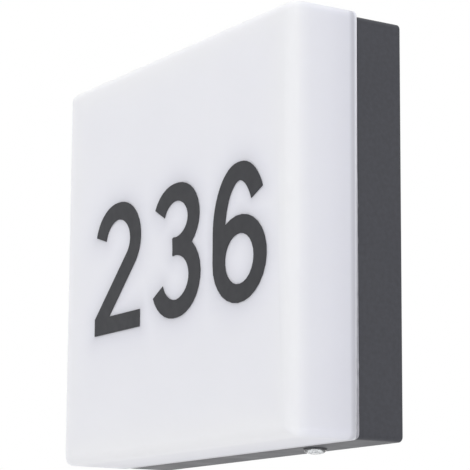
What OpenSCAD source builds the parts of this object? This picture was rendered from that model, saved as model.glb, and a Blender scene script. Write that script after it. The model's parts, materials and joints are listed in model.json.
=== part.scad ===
// Outdoor wall light with a house number: a dark back box on the wall, a deep opal cover in front of it,
// and between them the lamp tray, the driver, the mains terminal and a daylight sensor.
// The part's frame: +Z is up, the wall is the plane y = 0, the light stands out along -Y, and the origin
// is the middle of the back face. Each module works lying on its back: x to the right, y up, z out of the
// wall.

/* [Overall] */
// Width of the cover, side to side
width = 245; // [225:1:270]
// Height of the cover
height = 231; // [225:1:270]
// Distance from the wall to the front face of the cover
depth = 73; // [66:1:90]

/* [Back box] */
// Distance from the wall to the front edge of the box
box_depth = 29; // [28.5:0.5:35]
// Thickness of the floor and the walls of the box
box_wall = 2.5; // [2.2:0.1:2.8]
// How far each side of the box stands in from the side of the cover
box_inset = 1.5; // [1:0.1:2]
// Corner radius of the box, seen from the front
box_corner = 3; // [2.5:0.5:6]
// Radius of the rounded edge of the box at the wall
box_edge = 1.2; // [0.6:0.1:1.6]
// Height of the low pads that screws go into
pad_height = 3; // [2.5:0.5:4]
// Radius of the low pads
pad_radius = 3.2; // [2.8:0.1:3.4]

/* [Wall fixing] */
// Distance across between the wall-screw slots
slot_spacing_across = 150; // [144:1:156]
// Distance up between the wall-screw slots
slot_spacing_up = 104; // [98:1:106]
// Width of a wall-screw slot
slot_width = 5.4; // [4.5:0.1:6.5]
// Length of a wall-screw slot, end to end
slot_length = 10; // [8:0.5:13]
// Width of the foam strip that seals against the wall
foam_width = 6; // [4:0.5:8]
// Depth of the groove that the foam strip lies in
foam_depth = 1.2; // [0.8:0.1:1.5]
// How far the foam strip stands in from the side of the box
foam_inset = 8; // [4:0.5:10]

/* [Cable entry] */
// Radius of the mains cable that the grommet takes
cable_radius = 4; // [3:0.1:4.5]
// Thickness of the grommet around the cable
grommet_wall = 2.2; // [1.8:0.1:2.6]
// How far the flange of the grommet reaches past its hole
grommet_flange = 3; // [2:0.1:3.4]
// Height of the grommet above the floor of the box
grommet_height = 5; // [4:0.5:8]

/* [Cover] */
// Thickness of the opal cover
cover_wall = 2.5; // [2:0.1:3]
// Corner radius of the cover, seen from the front
cover_corner = 5.5; // [5.5:0.5:8]
// Radius of the rounded front edge of the cover
cover_edge = 5; // [4:0.5:5]
// How far the middle of the cover stands above the middle of the box
cover_raise = 1.1; // [0:0.1:1.4]
// How far the locating lip of the cover reaches into the box
lip_depth = 7; // [6:0.5:8]
// Thickness of the locating lip
lip_wall = 1.8; // [1.5:0.1:2.2]
// Gap between the locating lip and the box
lip_gap = 0.4; // [0.2:0.1:0.8]
// Thickness of the flange that carries the lip
shelf_height = 2.5; // [2:0.1:4]
// Thickness of the seal between cover and box
seal_height = 1.2; // [0.8:0.1:1.6]

/* [Cover clips] */
// Thickness of the spring steel
clip_sheet = 0.6; // [0.4:0.1:0.8]
// Width of a clip
clip_width = 12; // [10:0.5:14]
// Distance from the lip of the cover to the screw of a clip
clip_foot = 12; // [11.5:0.5:14]

/* [House number] */
// Height of the figures
figure_height = 77; // [60:0.5:90]
// Width of the figures
figure_width = 53; // [44:0.5:56]
// Gap between the figures
figure_gap = 12.6; // [8:0.2:14]
// How far the number stands right of the middle of the cover
number_right = 8; // [0:0.2:12]
// How far the number stands below the middle of the cover
number_down = 2.8; // [0:0.2:12]
// Width of the upright strokes
stroke_upright = 12.4; // [8:0.1:14]
// Width of the level strokes
stroke_level = 10.2; // [7:0.1:12]
// Thickness of the adhesive film
film_thickness = 0.3; // [0.2:0.05:0.6]

/* [Lamp tray] */
// Thickness of the tray sheet
tray_sheet = 1; // [0.8:0.1:1.4]
// Depth of the folded edge of the tray
tray_fold = 5.5; // [4:0.5:6]
// How far the tray stands behind the front edge of the box
tray_back = 6; // [5:0.5:7]
// Gap between the folded edge of the tray and the lip of the cover
tray_gap = 5.3; // [5:0.1:8]
// Corner radius of the tray
tray_corner = 4; // [3:0.5:6]
// Radius of the posts that carry the tray
post_radius = 4.5; // [4:0.1:5]
// Distance from the edge of the tray to its screws
post_inset = 13; // [11:0.5:14]
// Width of the service window in the tray
window_width = 74; // [72:1:80]
// Radius of the access holes over the wall-screw slots
access_radius = 7; // [6:0.1:8]

/* [LED boards] */
// Length of an LED board
board_length = 176; // [170:1:180]
// Width of an LED board
board_width = 12; // [10:0.5:13]
// Thickness of an LED board
board_sheet = 1; // [0.8:0.1:1.6]
// Distance from one board to the next
row_pitch = 52; // [50:0.5:54]
// LEDs on each board
leds_per_board = 8; // [6:1:10]
// Distance from the end of a board to its screw
board_screw_inset = 8; // [7.5:0.5:10]

/* [Daylight sensor] */
// Distance of the sensor to the right of the middle
sensor_x = 62.5; // [56:0.5:66]
// Distance of the sensor from the wall
sensor_z = 15.8; // [13.5:0.1:16]
// Radius of the clear dome
dome_radius = 6; // [5.8:0.1:6.6]
// How far the dome stands below the box
dome_height = 3.2; // [2.8:0.1:4]
// Radius of the dome's hollow neck
neck_radius = 4.9; // [4.6:0.1:5]
// Thickness of the sealing washer under the dome
washer_sheet = 0.6; // [0.4:0.1:0.8]
// Height of the nut on the neck
nut_height = 3; // [2:0.1:3.2]
// Width of the sensor board
sensor_board_width = 24; // [20:1:28]

/* [Mains terminal] */
// Distance from one pole to the next
pole_pitch = 7.5; // [7.3:0.1:7.8]
// Length of the terminal block along its wires
block_length = 22; // [21.5:0.5:24]
// Height of the terminal block
block_height = 13; // [12.5:0.1:14]
// Thickness of the outer walls of the terminal block
block_wall = 1.3; // [1.2:0.1:1.4]
// Radius of the lever pins
lever_pin = 1; // [0.8:0.05:1.2]
// Thickness of a lever
lever_sheet = 2; // [1.6:0.1:2.2]

/* [Driver] */
// Length of the driver case
driver_length = 96; // [92:1:100]
// Width of the driver case
driver_width = 36; // [35:0.5:38]
// Height of the driver case without its lid
driver_height = 16; // [15.5:0.1:16.5]
// Thickness of the driver case and its lid
driver_wall = 1.6; // [1.4:0.1:1.8]

/* [Hidden] */
$fn = 64;
seat = 0.05;        // clearance between a pin or screw and its bore
touch = 0.3;        // gap left where a loose piece lies in its seat
beyond = 1;         // how far a cut runs past the face it opens
least_corner = 0.5; // least radius of an inner corner

// Screws: shank radius, head radius, head height
small_screw = [1.3, 2.6, 1.6];
tray_screw = [1.7, 3.6, 2.2];

// The box and the cover, from outside inwards
box_w = width - 2 * box_inset;
box_h = height - 2 * box_inset;
room_w = box_w - 2 * box_wall;
room_h = box_h - 2 * box_wall;
room_corner = max(box_corner - box_wall, 1);
rim_z = box_depth + seal_height;
lip_w = room_w - 2 * lip_gap;
lip_h = room_h - 2 * lip_gap;
lip_corner = max(room_corner - lip_gap, 1);
lip_room_w = lip_w - 2 * lip_wall;
lip_room_h = lip_h - 2 * lip_wall;
pad_z = box_wall + pad_height;
foam_w = box_w - 2 * foam_inset;
foam_h = box_h - 2 * foam_inset;
foam_corner = 4;

// Cover clips: the angle of each side, and half the room inside the lip there
clip_sides = [[0, lip_room_w / 2], [90, lip_room_h / 2], [180, lip_room_w / 2], [270, lip_room_h / 2]];
clip_stand = 3.2;
clip_heel = 4;
clip_bend_z = rim_z - lip_depth - 2;
clip_bump_z = rim_z - lip_depth / 2;
clip_tip_z = rim_z;

// The lamp tray and its rows of LEDs
tray_w = lip_room_w - 2 * tray_gap;
tray_h = lip_room_h - 2 * tray_gap;
tray_z = box_depth - tray_back;
tray_top = tray_z + tray_sheet;
rows = 4;
row_y = [for (i = [0 : rows - 1]) (i - (rows - 1) / 2) * row_pitch];
board_top = tray_top + board_sheet;
board_screw_x = board_length / 2 - board_screw_inset;
led_size = [3.5, 2.8, 0.8];
led_margin = 10;
led_pitch = 2 * (board_screw_x - led_margin) / (leds_per_board - 1);
posts = [for (x = [-1, 1], y = [-1, 1]) [x * (tray_w / 2 - post_inset), y * (tray_h / 2 - post_inset)]];
post_thread = 11;
slots = [for (x = [-1, 1], y = [-1, 1]) [x * slot_spacing_across / 2, y * slot_spacing_up / 2]];
window_height = row_pitch - board_width - 5;
feed_radius = 3.4;
feed_at = [-66, row_y[2] + board_width / 2 + 6.5];
feed_wall = 0.9;
feed_flange = [4.6, 0.9];
link_radius = 0.7;
link_x = board_length / 2 - 3;

// The grommet and the mains terminal lie behind the service window
grommet_at = [-24, 0];
grommet_hole = cable_radius + grommet_wall;
grommet_sheet = 1.6;
block_at = [12, 0];
poles = 3;
pole_y = [for (i = [0 : poles - 1]) (i - (poles - 1) / 2) * pole_pitch];
cell_width = pole_pitch - 1.3;
cell_floor = 1.5;
cell_end = block_length / 2 - block_wall;
block_width = (poles - 1) * pole_pitch + cell_width + 2 * block_wall;
bar_size = [2 * cell_end - 0.6, 5, 0.8];
bar_z = cell_floor + bar_size[2];
conductor_z = 4.4;
conductor_radius = 1.9;
block_ear = [8, 7, 2];
block_screw_y = block_width / 2 + block_ear[1] / 2;
lever_cam = 1.6;
lever_at = [block_length / 2 - 3.5, block_height - 1.8];
lever_drop = 0.8;
lever_tip = 0.7;
lever_width = cell_width - 2 * touch;
pin_bite = 0.5;
spring_sheet = 0.4;
wire_radius = 1;
wire_seat = 0.1;
wire_entry = 1;
wire_lead = 3.5;

// The driver lies above the terminal, under the tray
driver_at = [0, 52];
driver_ear = [8, 10, 2];
driver_ear_x = driver_length / 2 + driver_ear[0] / 2;
driver_room = [driver_length - 2 * driver_wall, driver_width - 2 * driver_wall];
driver_board_z = box_wall + 4;
driver_board_sheet = 1.4;
driver_parts_z = driver_board_z + driver_board_sheet;
driver_lid_z = box_wall + driver_height;
column_radius = 2.8;
column_x = driver_room[0] / 2 - column_radius + 0.6;
driver_board_size = [2 * (column_x - column_radius - touch), driver_room[1] - 1];
standoff_inset = 3;
standoff_at = driver_board_size / 2 - [standoff_inset, standoff_inset];
standoff_radius = 2;
transformer_size = [18, 20, 9];
transformer_x = -6;
ferrite_sheet = 3;
winding_step = 1;
capacitor_radius = 4;
capacitor_gap = 3;
capacitor_x = 19;
film_capacitor = [7, 12, 8];
film_capacitor_x = -29;
choke_radius = 4.5;
choke_bore = 1.8;
choke_length = 5;
choke_x = 32;

// Where the wires enter the driver: two mains wires below, lamp wires left, sensor wires right
mains_entry_x = [33, 39];
mains_entry_z = 12;
lamp_entry_z = 13;
lamp_entry_y = [-7, -9];
lamp_wire_radius = 0.8;
lamp_wire_spread = 1.8;
sensor_entry_y = -10;
sensor_entry_z = 11;
sensor_wire_radius = 0.7;
sensor_wire_spread = 1.6;

// The daylight sensor in the bottom wall, measured inwards from its outer face
neck_wall = 1.2;
neck_length = box_wall + nut_height + 1.5;
nut_radius = 7.8;
sensor_board_sheet = 1.2;
sensor_board_in = neck_length + 2;
sensor_board_y = -box_h / 2 + sensor_board_in;
sensor_board_top = tray_z - tray_fold - touch;
photocell_radius = 2.5;
photocell_length = sensor_board_in - box_wall - 1.5;
rib_size = [4, 4.4, 9];

// The earth screw
earth_at = [62, -22];
earth_pad = 5;
tag_sheet = 0.8;
tag_ring = 4.4;
tag_neck = 3;
barrel_radius = 1.7;
barrel_length = 6;
barrel_x = earth_at[0] - earth_pad - touch;

// Turns a piece modelled on its back into the part's frame
module place() rotate([90, 0, 0]) children();

// Rectangle with round corners, about the middle
module rounded(w, h, r) {
    square([w - 2 * r, h], center = true);
    square([w, h - 2 * r], center = true);
    for (x = [-1, 1], y = [-1, 1])
        translate([x * (w / 2 - r), y * (h / 2 - r)]) circle(r);
}

// Frame along a rounded rectangle, standing on z = 0
module ring(w, h, r, wall, tall) {
    linear_extrude(tall) difference() {
        rounded(w, h, r);
        rounded(w - 2 * wall, h - 2 * wall, max(r - wall, least_corner));
    }
}

// Upright section of a block whose top corners are rounded
module soft_profile(w, tall, edge) {
    translate([-w / 2, 0]) square([w, tall - edge]);
    translate([edge - w / 2, 0]) square([w - 2 * edge, tall]);
    for (s = [-1, 1]) translate([s * (w / 2 - edge), tall - edge]) circle(edge);
}

// Block standing on z = 0 with round corners and a rounded top edge
module soft_block(w, h, r, edge, tall) {
    rotate([90, 0, 0]) linear_extrude(h - 2 * r, center = true) soft_profile(w, tall, edge);
    rotate([90, 0, 90]) linear_extrude(w - 2 * r, center = true) soft_profile(h, tall, edge);
    for (x = [-1, 1], y = [-1, 1]) translate([x * (w / 2 - r), y * (h / 2 - r), 0])
        rotate_extrude() intersection() {
            soft_profile(2 * r, tall, edge);
            square([r, tall]);
        }
}

// Slot along x with round ends
module slot(long, wide, deep) {
    linear_extrude(deep) {
        square([long - wide, wide], center = true);
        for (x = [-1, 1]) translate([x * (long - wide) / 2, 0]) circle(wide / 2);
    }
}

// Cross-head screw whose head sits on z = 0 and whose shank points down
module screw(size, long) {
    difference() {
        union() {
            cylinder(h = size[2], r = size[1]);
            translate([0, 0, -long]) cylinder(h = long + size[2] / 2, r = size[0]);
        }
        for (turn = [0, 90])
            rotate(turn) translate([0, 0, size[2]])
                cube([size[1] * 1.2, size[1] * 0.3, size[2]], center = true);
    }
}

// Points of a bent strip of sheet, half its thickness to each side of a list of points
function unit(v) = v / norm(v);
function side(v) = [-v[1], v[0]];
function strip_normal(p, i) =
    let (last = len(p) - 1,
         before = i == 0 ? unit(p[1] - p[0]) : unit(p[i] - p[i - 1]),
         after = i == last ? before : unit(p[i + 1] - p[i]),
         mean = unit(side(before) + side(after)))
    mean / (mean * side(before));
function strip_outline(p, t) = concat(
    [for (i = [0 : len(p) - 1]) p[i] + strip_normal(p, i) * t / 2],
    [for (i = [len(p) - 1 : -1 : 0]) p[i] - strip_normal(p, i) * t / 2]);

// Bent strip whose points lie in the x-z plane, centred along y
module strip(points, t, wide) {
    translate([0, wide / 2, 0]) rotate([90, 0, 0]) linear_extrude(wide) polygon(strip_outline(points, t));
}

// Insulated wire along a smooth line through a list of points
wire_sides = 8;
wire_steps = 3;
function curve_point(a, b, c, d, t) =
    0.5 * (2 * b + (c - a) * t + (2 * a - 5 * b + 4 * c - d) * t * t + (3 * b - a - 3 * c + d) * t * t * t);
function curve(p) = concat(
    [for (i = [0 : len(p) - 2], s = [0 : wire_steps - 1])
        curve_point(p[max(i - 1, 0)], p[i], p[i + 1], p[min(i + 2, len(p) - 1)], s / wire_steps)],
    [p[len(p) - 1]]);
function tangents(p) = [for (i = [0 : len(p) - 1]) unit(p[min(i + 1, len(p) - 1)] - p[max(i - 1, 0)])];
function normals(t, i, before) = i >= len(t) ? [] :
    let (n = unit(before - (before * t[i]) * t[i])) concat([n], normals(t, i + 1, n));
module wire(points, r = wire_radius) {
    p = curve(points);
    t = tangents(p);
    n = normals(t, 0, [0.3, 0.5, 0.8]);
    last = len(p) - 1;
    rings = [for (i = [0 : last], k = [0 : wire_sides - 1])
        let (a = 360 * k / wire_sides) p[i] + r * (cos(a) * n[i] + sin(a) * cross(t[i], n[i]))];
    walls = [for (i = [0 : last - 1], k = [0 : wire_sides - 1])
        let (a = i * wire_sides + k, b = i * wire_sides + (k + 1) % wire_sides)
        each [[a, a + wire_sides, b], [b, a + wire_sides, b + wire_sides]]];
    caps = [for (k = [1 : wire_sides - 2])
        each [[0, k, k + 1], [last * wire_sides, last * wire_sides + k + 1, last * wire_sides + k]]];
    polyhedron(rings, concat(walls, caps));
}

// Screw pad on the floor of the box, with its bore
module pad(at, bore, r = pad_radius) {
    translate([at[0], at[1], box_wall]) difference() {
        cylinder(h = pad_height, r = r);
        translate([0, 0, -beyond]) cylinder(h = pad_height + 2 * beyond, r = bore);
    }
}

// Rib on the floor that holds one edge of the sensor board
module sensor_rib(s) {
    slot_size = [rib_size[0] / 2 + 2 * touch, sensor_board_sheet + touch, rib_size[2] + beyond];
    translate([sensor_x + s * sensor_board_width / 2, sensor_board_y + sensor_board_sheet / 2, box_wall])
        difference() {
            translate([-rib_size[0] / 2, -rib_size[1] / 2, 0]) cube(rib_size);
            translate([-s * rib_size[0] / 4 - slot_size[0] / 2, -slot_size[1] / 2, 0]) cube(slot_size);
        }
}

// Back box: the dark casing that is screwed to the wall
module back_box() color("#4b4c51") place() {
    difference() {
        translate([0, 0, box_depth]) rotate([180, 0, 0])
            soft_block(box_w, box_h, box_corner, box_edge, box_depth);
        translate([0, 0, box_wall]) linear_extrude(box_depth) rounded(room_w, room_h, room_corner);
        translate([0, 0, -beyond]) ring(foam_w, foam_h, foam_corner, foam_width, foam_depth + beyond);
        for (s = slots) translate([s[0], s[1], -beyond])
            slot(slot_length, slot_width, box_wall + 2 * beyond);
        translate([grommet_at[0], grommet_at[1], -beyond])
            cylinder(h = box_wall + 2 * beyond, r = grommet_hole);
        translate([sensor_x, -box_h / 2 - beyond, sensor_z]) rotate([-90, 0, 0])
            cylinder(h = box_wall + 2 * beyond, r = neck_radius + seat);
    }
    for (p = posts) translate([p[0], p[1], box_wall]) difference() {
        cylinder(h = tray_z - box_wall, r = post_radius);
        translate([0, 0, tray_z - box_wall - post_thread])
            cylinder(h = post_thread + beyond, r = tray_screw[0] + seat);
    }
    for (c = clip_sides) rotate(c[0]) pad([c[1] - clip_foot, 0], small_screw[0] + seat);
    for (s = [-1, 1]) {
        pad([driver_at[0] + s * driver_ear_x, driver_at[1]], small_screw[0] + seat);
        pad([block_at[0], block_at[1] + s * block_screw_y], small_screw[0] + seat);
        sensor_rib(s);
    }
    pad(earth_at, tray_screw[0] + seat, earth_pad);
}

// Foam strip in the groove of the back, against the wall
module wall_foam() color("#26272a") place() ring(foam_w, foam_h, foam_corner, foam_width, foam_depth);

// Rubber grommet that the mains cable comes in through
module cable_grommet() color("#2b2b2d") place() translate([grommet_at[0], grommet_at[1], 0]) difference() {
    union() {
        cylinder(h = box_wall + grommet_height, r = cable_radius + grommet_wall - seat);
        translate([0, 0, box_wall]) cylinder(h = grommet_sheet, r = grommet_hole + grommet_flange);
    }
    translate([0, 0, -beyond]) cylinder(h = box_wall + grommet_height + 2 * beyond, r = cable_radius);
}

// Seal between the front edge of the box and the cover
module cover_seal() color("#c9c9c6") place() translate([0, 0, box_depth])
    ring(box_w, box_h, box_corner, box_wall - touch, seal_height);

// Spring clips that grip the inside of the cover's lip
module cover_clips() color("#b9bcc0") place() for (c = clip_sides) rotate(c[0]) difference() {
    foot_z = pad_z + clip_sheet / 2;
    stand_x = c[1] - clip_stand;
    strip([[c[1] - clip_foot - clip_heel, foot_z], [stand_x, foot_z], [stand_x, clip_bend_z],
           [c[1] - touch - clip_sheet * 0.7, clip_bump_z], [stand_x, clip_tip_z]], clip_sheet, clip_width);
    translate([c[1] - clip_foot, 0, 0]) cylinder(h = 2 * pad_z, r = small_screw[0] + seat);
}

module clip_screws() color("#9b9da0") place() for (c = clip_sides)
    rotate(c[0]) translate([c[1] - clip_foot, 0, pad_z + clip_sheet])
        screw(small_screw, clip_sheet + pad_height);

// White tray that carries the LED boards and hides the driver
module gear_tray() color("#eceeee") place() difference() {
    union() {
        translate([0, 0, tray_z]) linear_extrude(tray_sheet) rounded(tray_w, tray_h, tray_corner);
        translate([0, 0, tray_z - tray_fold]) ring(tray_w, tray_h, tray_corner, tray_sheet, tray_fold);
    }
    translate([0, 0, tray_z - beyond]) linear_extrude(tray_sheet + 2 * beyond)
        rounded(window_width, window_height, tray_corner);
    for (p = posts) translate([p[0], p[1], tray_z - beyond])
        cylinder(h = tray_sheet + 2 * beyond, r = tray_screw[0] + seat);
    for (s = slots) translate([s[0], s[1], tray_z - beyond])
        cylinder(h = tray_sheet + 2 * beyond, r = access_radius);
    translate([feed_at[0], feed_at[1], tray_z - beyond])
        cylinder(h = tray_sheet + 2 * beyond, r = feed_radius);
    for (y = row_y, s = [-1, 1]) translate([s * board_screw_x, y, tray_z - beyond])
        cylinder(h = tray_sheet + 2 * beyond, r = small_screw[0] + seat);
}

module tray_screws() color("#9b9da0") place()
    for (p = posts) translate([p[0], p[1], tray_top]) screw(tray_screw, tray_sheet + post_thread - 2);

// Rubber grommet that leads the lamp wires through the tray
module tray_grommet() color("#2b2b2d") place() translate([feed_at[0], feed_at[1], tray_z])
    difference() {
        union() {
            translate([0, 0, -feed_flange[1]]) cylinder(h = feed_flange[1], r = feed_flange[0]);
            cylinder(h = tray_sheet, r = feed_radius - seat);
            translate([0, 0, tray_sheet]) cylinder(h = feed_flange[1], r = feed_flange[0]);
        }
        translate([0, 0, -2 * beyond]) cylinder(h = tray_sheet + 4 * beyond, r = feed_radius - feed_wall);
    }

// One LED board, counted from the bottom
module led_board(row) color("#e8ebe6") place() difference() {
    translate([-board_length / 2, row_y[row] - board_width / 2, tray_top])
        cube([board_length, board_width, board_sheet]);
    for (s = [-1, 1]) translate([s * board_screw_x, row_y[row], tray_top - beyond])
        cylinder(h = board_sheet + 2 * beyond, r = small_screw[0] + seat);
}
module led_board_1() led_board(0);
module led_board_2() led_board(1);
module led_board_3() led_board(2);
module led_board_4() led_board(3);

module led_chips() color("#f3d873") place() for (y = row_y, i = [0 : leds_per_board - 1])
    translate([(i - (leds_per_board - 1) / 2) * led_pitch, y, board_top + led_size[2] / 2])
        cube(led_size, center = true);

module board_screws() color("#9b9da0") place() for (y = row_y, s = [-1, 1])
    translate([s * board_screw_x, y, board_top]) screw(small_screw, board_sheet + tray_sheet + 1);

// Wire links from one board to the next, at both ends
module board_links() color("#c43a32") place() for (i = [0 : rows - 2], s = [-1, 1]) {
    low = row_y[i] + board_width / 2 - 2;
    high = row_y[i + 1] - board_width / 2 + 2;
    on_board = board_top + link_radius;
    on_tray = tray_top + link_radius + touch;
    wire([[s * link_x, low, on_board], [s * link_x, low + 4, on_board], [s * link_x, low + 9, on_tray],
          [s * link_x, high - 9, on_tray], [s * link_x, high - 4, on_board], [s * link_x, high, on_board]],
         link_radius);
}

// Driver case with its ears, its screw columns and the stand-offs of its board
module driver_case() color("#f0f0ee") place() translate([driver_at[0], driver_at[1], box_wall]) {
    difference() {
        translate([-driver_length / 2, -driver_width / 2, 0])
            cube([driver_length, driver_width, driver_height]);
        translate([-driver_room[0] / 2, -driver_room[1] / 2, driver_wall])
            cube([driver_room[0], driver_room[1], driver_height]);
        for (x = mains_entry_x) translate([x, -driver_width / 2 - beyond, mains_entry_z - box_wall])
            rotate([-90, 0, 0]) cylinder(h = driver_wall + 2 * beyond, r = wire_radius + wire_seat);
        for (y = lamp_entry_y) translate([-driver_length / 2 - beyond, y, lamp_entry_z - box_wall])
            rotate([0, 90, 0]) cylinder(h = driver_wall + 2 * beyond, r = lamp_wire_radius + wire_seat);
        for (k = [0, 1]) translate([driver_room[0] / 2 - beyond, sensor_entry_y,
                                    sensor_entry_z - box_wall + k * sensor_wire_spread])
            rotate([0, 90, 0])
                cylinder(h = driver_wall + 2 * beyond, r = sensor_wire_radius + wire_seat / 2);
    }
    for (s = [-1, 1]) {
        translate([s * driver_ear_x, 0, pad_height]) difference() {
            translate([-driver_ear[0] / 2, -driver_ear[1] / 2, 0]) cube(driver_ear);
            translate([0, 0, -beyond]) cylinder(h = driver_ear[2] + 2 * beyond, r = small_screw[0] + seat);
        }
        translate([s * column_x, 0, driver_wall]) difference() {
            cylinder(h = driver_height - driver_wall, r = column_radius);
            translate([0, 0, beyond]) cylinder(h = driver_height, r = small_screw[0] + seat);
        }
    }
    for (x = [-1, 1], y = [-1, 1]) translate([x * standoff_at[0], y * standoff_at[1], driver_wall])
        cylinder(h = driver_board_z - box_wall - driver_wall, r = standoff_radius);
}

module driver_lid() color("#f0f0ee") place() translate([driver_at[0], driver_at[1], driver_lid_z])
    difference() {
        translate([-driver_length / 2, -driver_width / 2, 0])
            cube([driver_length, driver_width, driver_wall]);
        for (s = [-1, 1]) translate([s * column_x, 0, -beyond])
            cylinder(h = driver_wall + 2 * beyond, r = small_screw[0] + seat);
    }

module driver_board() color("#2f6b3c") place() translate([driver_at[0], driver_at[1], driver_board_z])
    linear_extrude(driver_board_sheet) square(driver_board_size, center = true);

// Transformer: a wound bobbin between two ferrite halves
module driver_transformer() color("#d9b23a") place()
    translate([driver_at[0] + transformer_x, driver_at[1], driver_parts_z]) {
        wound = transformer_size - [2 * ferrite_sheet, 4 * winding_step, winding_step];
        translate([0, 0, wound[2] / 2]) cube(wound, center = true);
        for (s = [-1, 1])
            translate([s * (transformer_size[0] - ferrite_sheet) / 2, 0, transformer_size[2] / 2])
                cube([ferrite_sheet, transformer_size[1], transformer_size[2]], center = true);
    }

// Two round capacitors and a box-shaped one
module driver_capacitors() color("#30343a") place()
    translate([driver_at[0], driver_at[1], driver_parts_z]) {
        for (s = [-1, 1]) translate([capacitor_x, s * (capacitor_radius + capacitor_gap / 2), 0])
            cylinder(h = driver_lid_z - driver_parts_z - winding_step, r = capacitor_radius);
        translate([film_capacitor_x, -film_capacitor[1] / 2, 0]) cube(film_capacitor);
    }

// Ring choke standing on the board
module driver_choke() color("#b5562a") place()
    translate([driver_at[0] + choke_x, driver_at[1], driver_parts_z + choke_radius]) rotate([0, 90, 0])
        difference() {
            cylinder(h = choke_length, r = choke_radius, center = true);
            cylinder(h = choke_length + 2 * beyond, r = choke_bore, center = true);
        }

module driver_screws() color("#9b9da0") place() translate([driver_at[0], driver_at[1], 0])
    for (s = [-1, 1]) {
        translate([s * driver_ear_x, 0, pad_z + driver_ear[2]])
            screw(small_screw, pad_height + driver_ear[2]);
        translate([s * column_x, 0, driver_lid_z + driver_wall]) screw(small_screw, driver_wall + 8);
    }

// Mains terminal block: a pocket for each pole, open at the front
module terminal_block() color("#dfe1e2") place() translate([block_at[0], block_at[1], box_wall]) {
    difference() {
        translate([-block_length / 2, -block_width / 2, 0])
            cube([block_length, block_width, block_height]);
        for (y = pole_y) {
            translate([-cell_end, y - cell_width / 2, cell_floor])
                cube([2 * cell_end, cell_width, block_height]);
            translate([-block_length / 2 - beyond, y, conductor_z]) rotate([0, 90, 0])
                cylinder(h = block_wall + 2 * beyond, r = conductor_radius);
            translate([cell_end - beyond, y, conductor_z]) rotate([0, 90, 0])
                cylinder(h = block_wall + 2 * beyond, r = wire_radius + wire_seat);
            translate([-block_length / 2 - beyond, y - cell_width / 2 + 1, block_height - 3])
                cube([block_wall + 2 * beyond, cell_width - 2, 3 + beyond]);
        }
        translate([lever_at[0], 0, lever_at[1]]) rotate([90, 0, 0])
            cylinder(h = block_width - block_wall, r = lever_pin + seat, center = true);
    }
    for (s = [-1, 1]) translate([0, s * block_screw_y, pad_height]) difference() {
        translate([-block_ear[0] / 2, -block_ear[1] / 2, 0]) cube(block_ear);
        translate([0, 0, -beyond]) cylinder(h = block_ear[2] + 2 * beyond, r = small_screw[0] + seat);
    }
}

module terminal_bars() color("#c88f4a") place() translate([block_at[0], block_at[1], box_wall + cell_floor])
    for (y = pole_y) translate([-bar_size[0] / 2, y - bar_size[1] / 2, 0]) cube(bar_size);

// Bent springs that press each conductor on its bar
module terminal_springs() color("#b9bcc0") place() translate([block_at[0], block_at[1], box_wall])
    for (y = pole_y) translate([0, y, 0])
        strip([[-4.5, bar_z + 0.7], [1, bar_z + 6.3], [4, bar_z + 6.6], [cell_end - 2.7, bar_z + 4.7],
               [cell_end - 2.7, bar_z]], spring_sheet, bar_size[1]);

module terminal_screws() color("#9b9da0") place() for (s = [-1, 1])
    translate([block_at[0], block_at[1] + s * block_screw_y, pad_z + block_ear[2]])
        screw(small_screw, pad_height + block_ear[2]);

// One clamping lever, closed, with its pins
module lever(pole, tint) color(tint) place()
    translate([block_at[0] + lever_at[0], block_at[1] + pole_y[pole], box_wall + lever_at[1]]) {
        reach = lever_at[0] + cell_end - lever_tip;
        rotate([90, 0, 0]) cylinder(h = lever_width, r = lever_cam, center = true);
        rotate([90, 0, 0]) cylinder(h = cell_width + 2 * pin_bite, r = lever_pin, center = true);
        translate([-reach, -lever_width / 2, -lever_drop]) cube([reach, lever_width, lever_sheet]);
    }
module lever_earth() lever(0, "#4f9a4b");
module lever_neutral() lever(1, "#3f6fb5");
module lever_live() lever(2, "#7a4a2c");

// Ring tag on the end of the earth wire
module earth_tag() color("#c9cbcc") place() difference() {
    union() {
        translate([earth_at[0], earth_at[1], pad_z]) cylinder(h = tag_sheet, r = tag_ring);
        translate([barrel_x - barrel_length / 2, earth_at[1] - tag_neck / 2, pad_z])
            cube([earth_at[0] - barrel_x + barrel_length / 2, tag_neck, tag_sheet]);
        translate([barrel_x, earth_at[1], pad_z + tag_sheet / 2]) rotate([0, -90, 0])
            cylinder(h = barrel_length, r = barrel_radius);
    }
    translate([earth_at[0], earth_at[1], 0]) cylinder(h = 2 * pad_z, r = tray_screw[0] + seat);
    translate([barrel_x - barrel_length - beyond, earth_at[1], pad_z + tag_sheet / 2]) rotate([0, 90, 0])
        cylinder(h = barrel_length - 1 + beyond, r = wire_radius + wire_seat);
}

module earth_screw() color("#b8923f") place()
    translate([earth_at[0], earth_at[1], pad_z + tag_sheet]) screw(tray_screw, pad_height + tag_sheet);

// Where each pole's inner wire leaves the terminal block
function pole_exit(pole) =
    [block_at[0] + cell_end - wire_entry, block_at[1] + pole_y[pole], box_wall + conductor_z];

// Mains wire from a pole, through a quarter circle, up into the driver
module mains_wire(pole, entry) {
    from = pole_exit(pole);
    to = [driver_at[0] + mains_entry_x[entry], driver_at[1] - driver_width / 2 + driver_wall + wire_entry,
          mains_entry_z];
    turn = to[0] - from[0] - 2 * wire_lead;
    half_way = turn * (1 - cos(45));
    wire([from, from + [wire_lead, 0, 0], from + [2 * wire_lead, 0, 0],
          [to[0] - half_way, from[1] + half_way, from[2]], [to[0], from[1] + turn, from[2]],
          [to[0], (from[1] + turn + to[1] - 2 * wire_lead) / 2, (from[2] + to[2]) / 2],
          [to[0], to[1] - 2 * wire_lead, to[2]], [to[0], to[1] - wire_lead, to[2]], to]);
}
module wire_live() color("#7a4a2c") place() mains_wire(2, 0);
module wire_neutral() color("#3f6fb5") place() mains_wire(1, 1);

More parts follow.
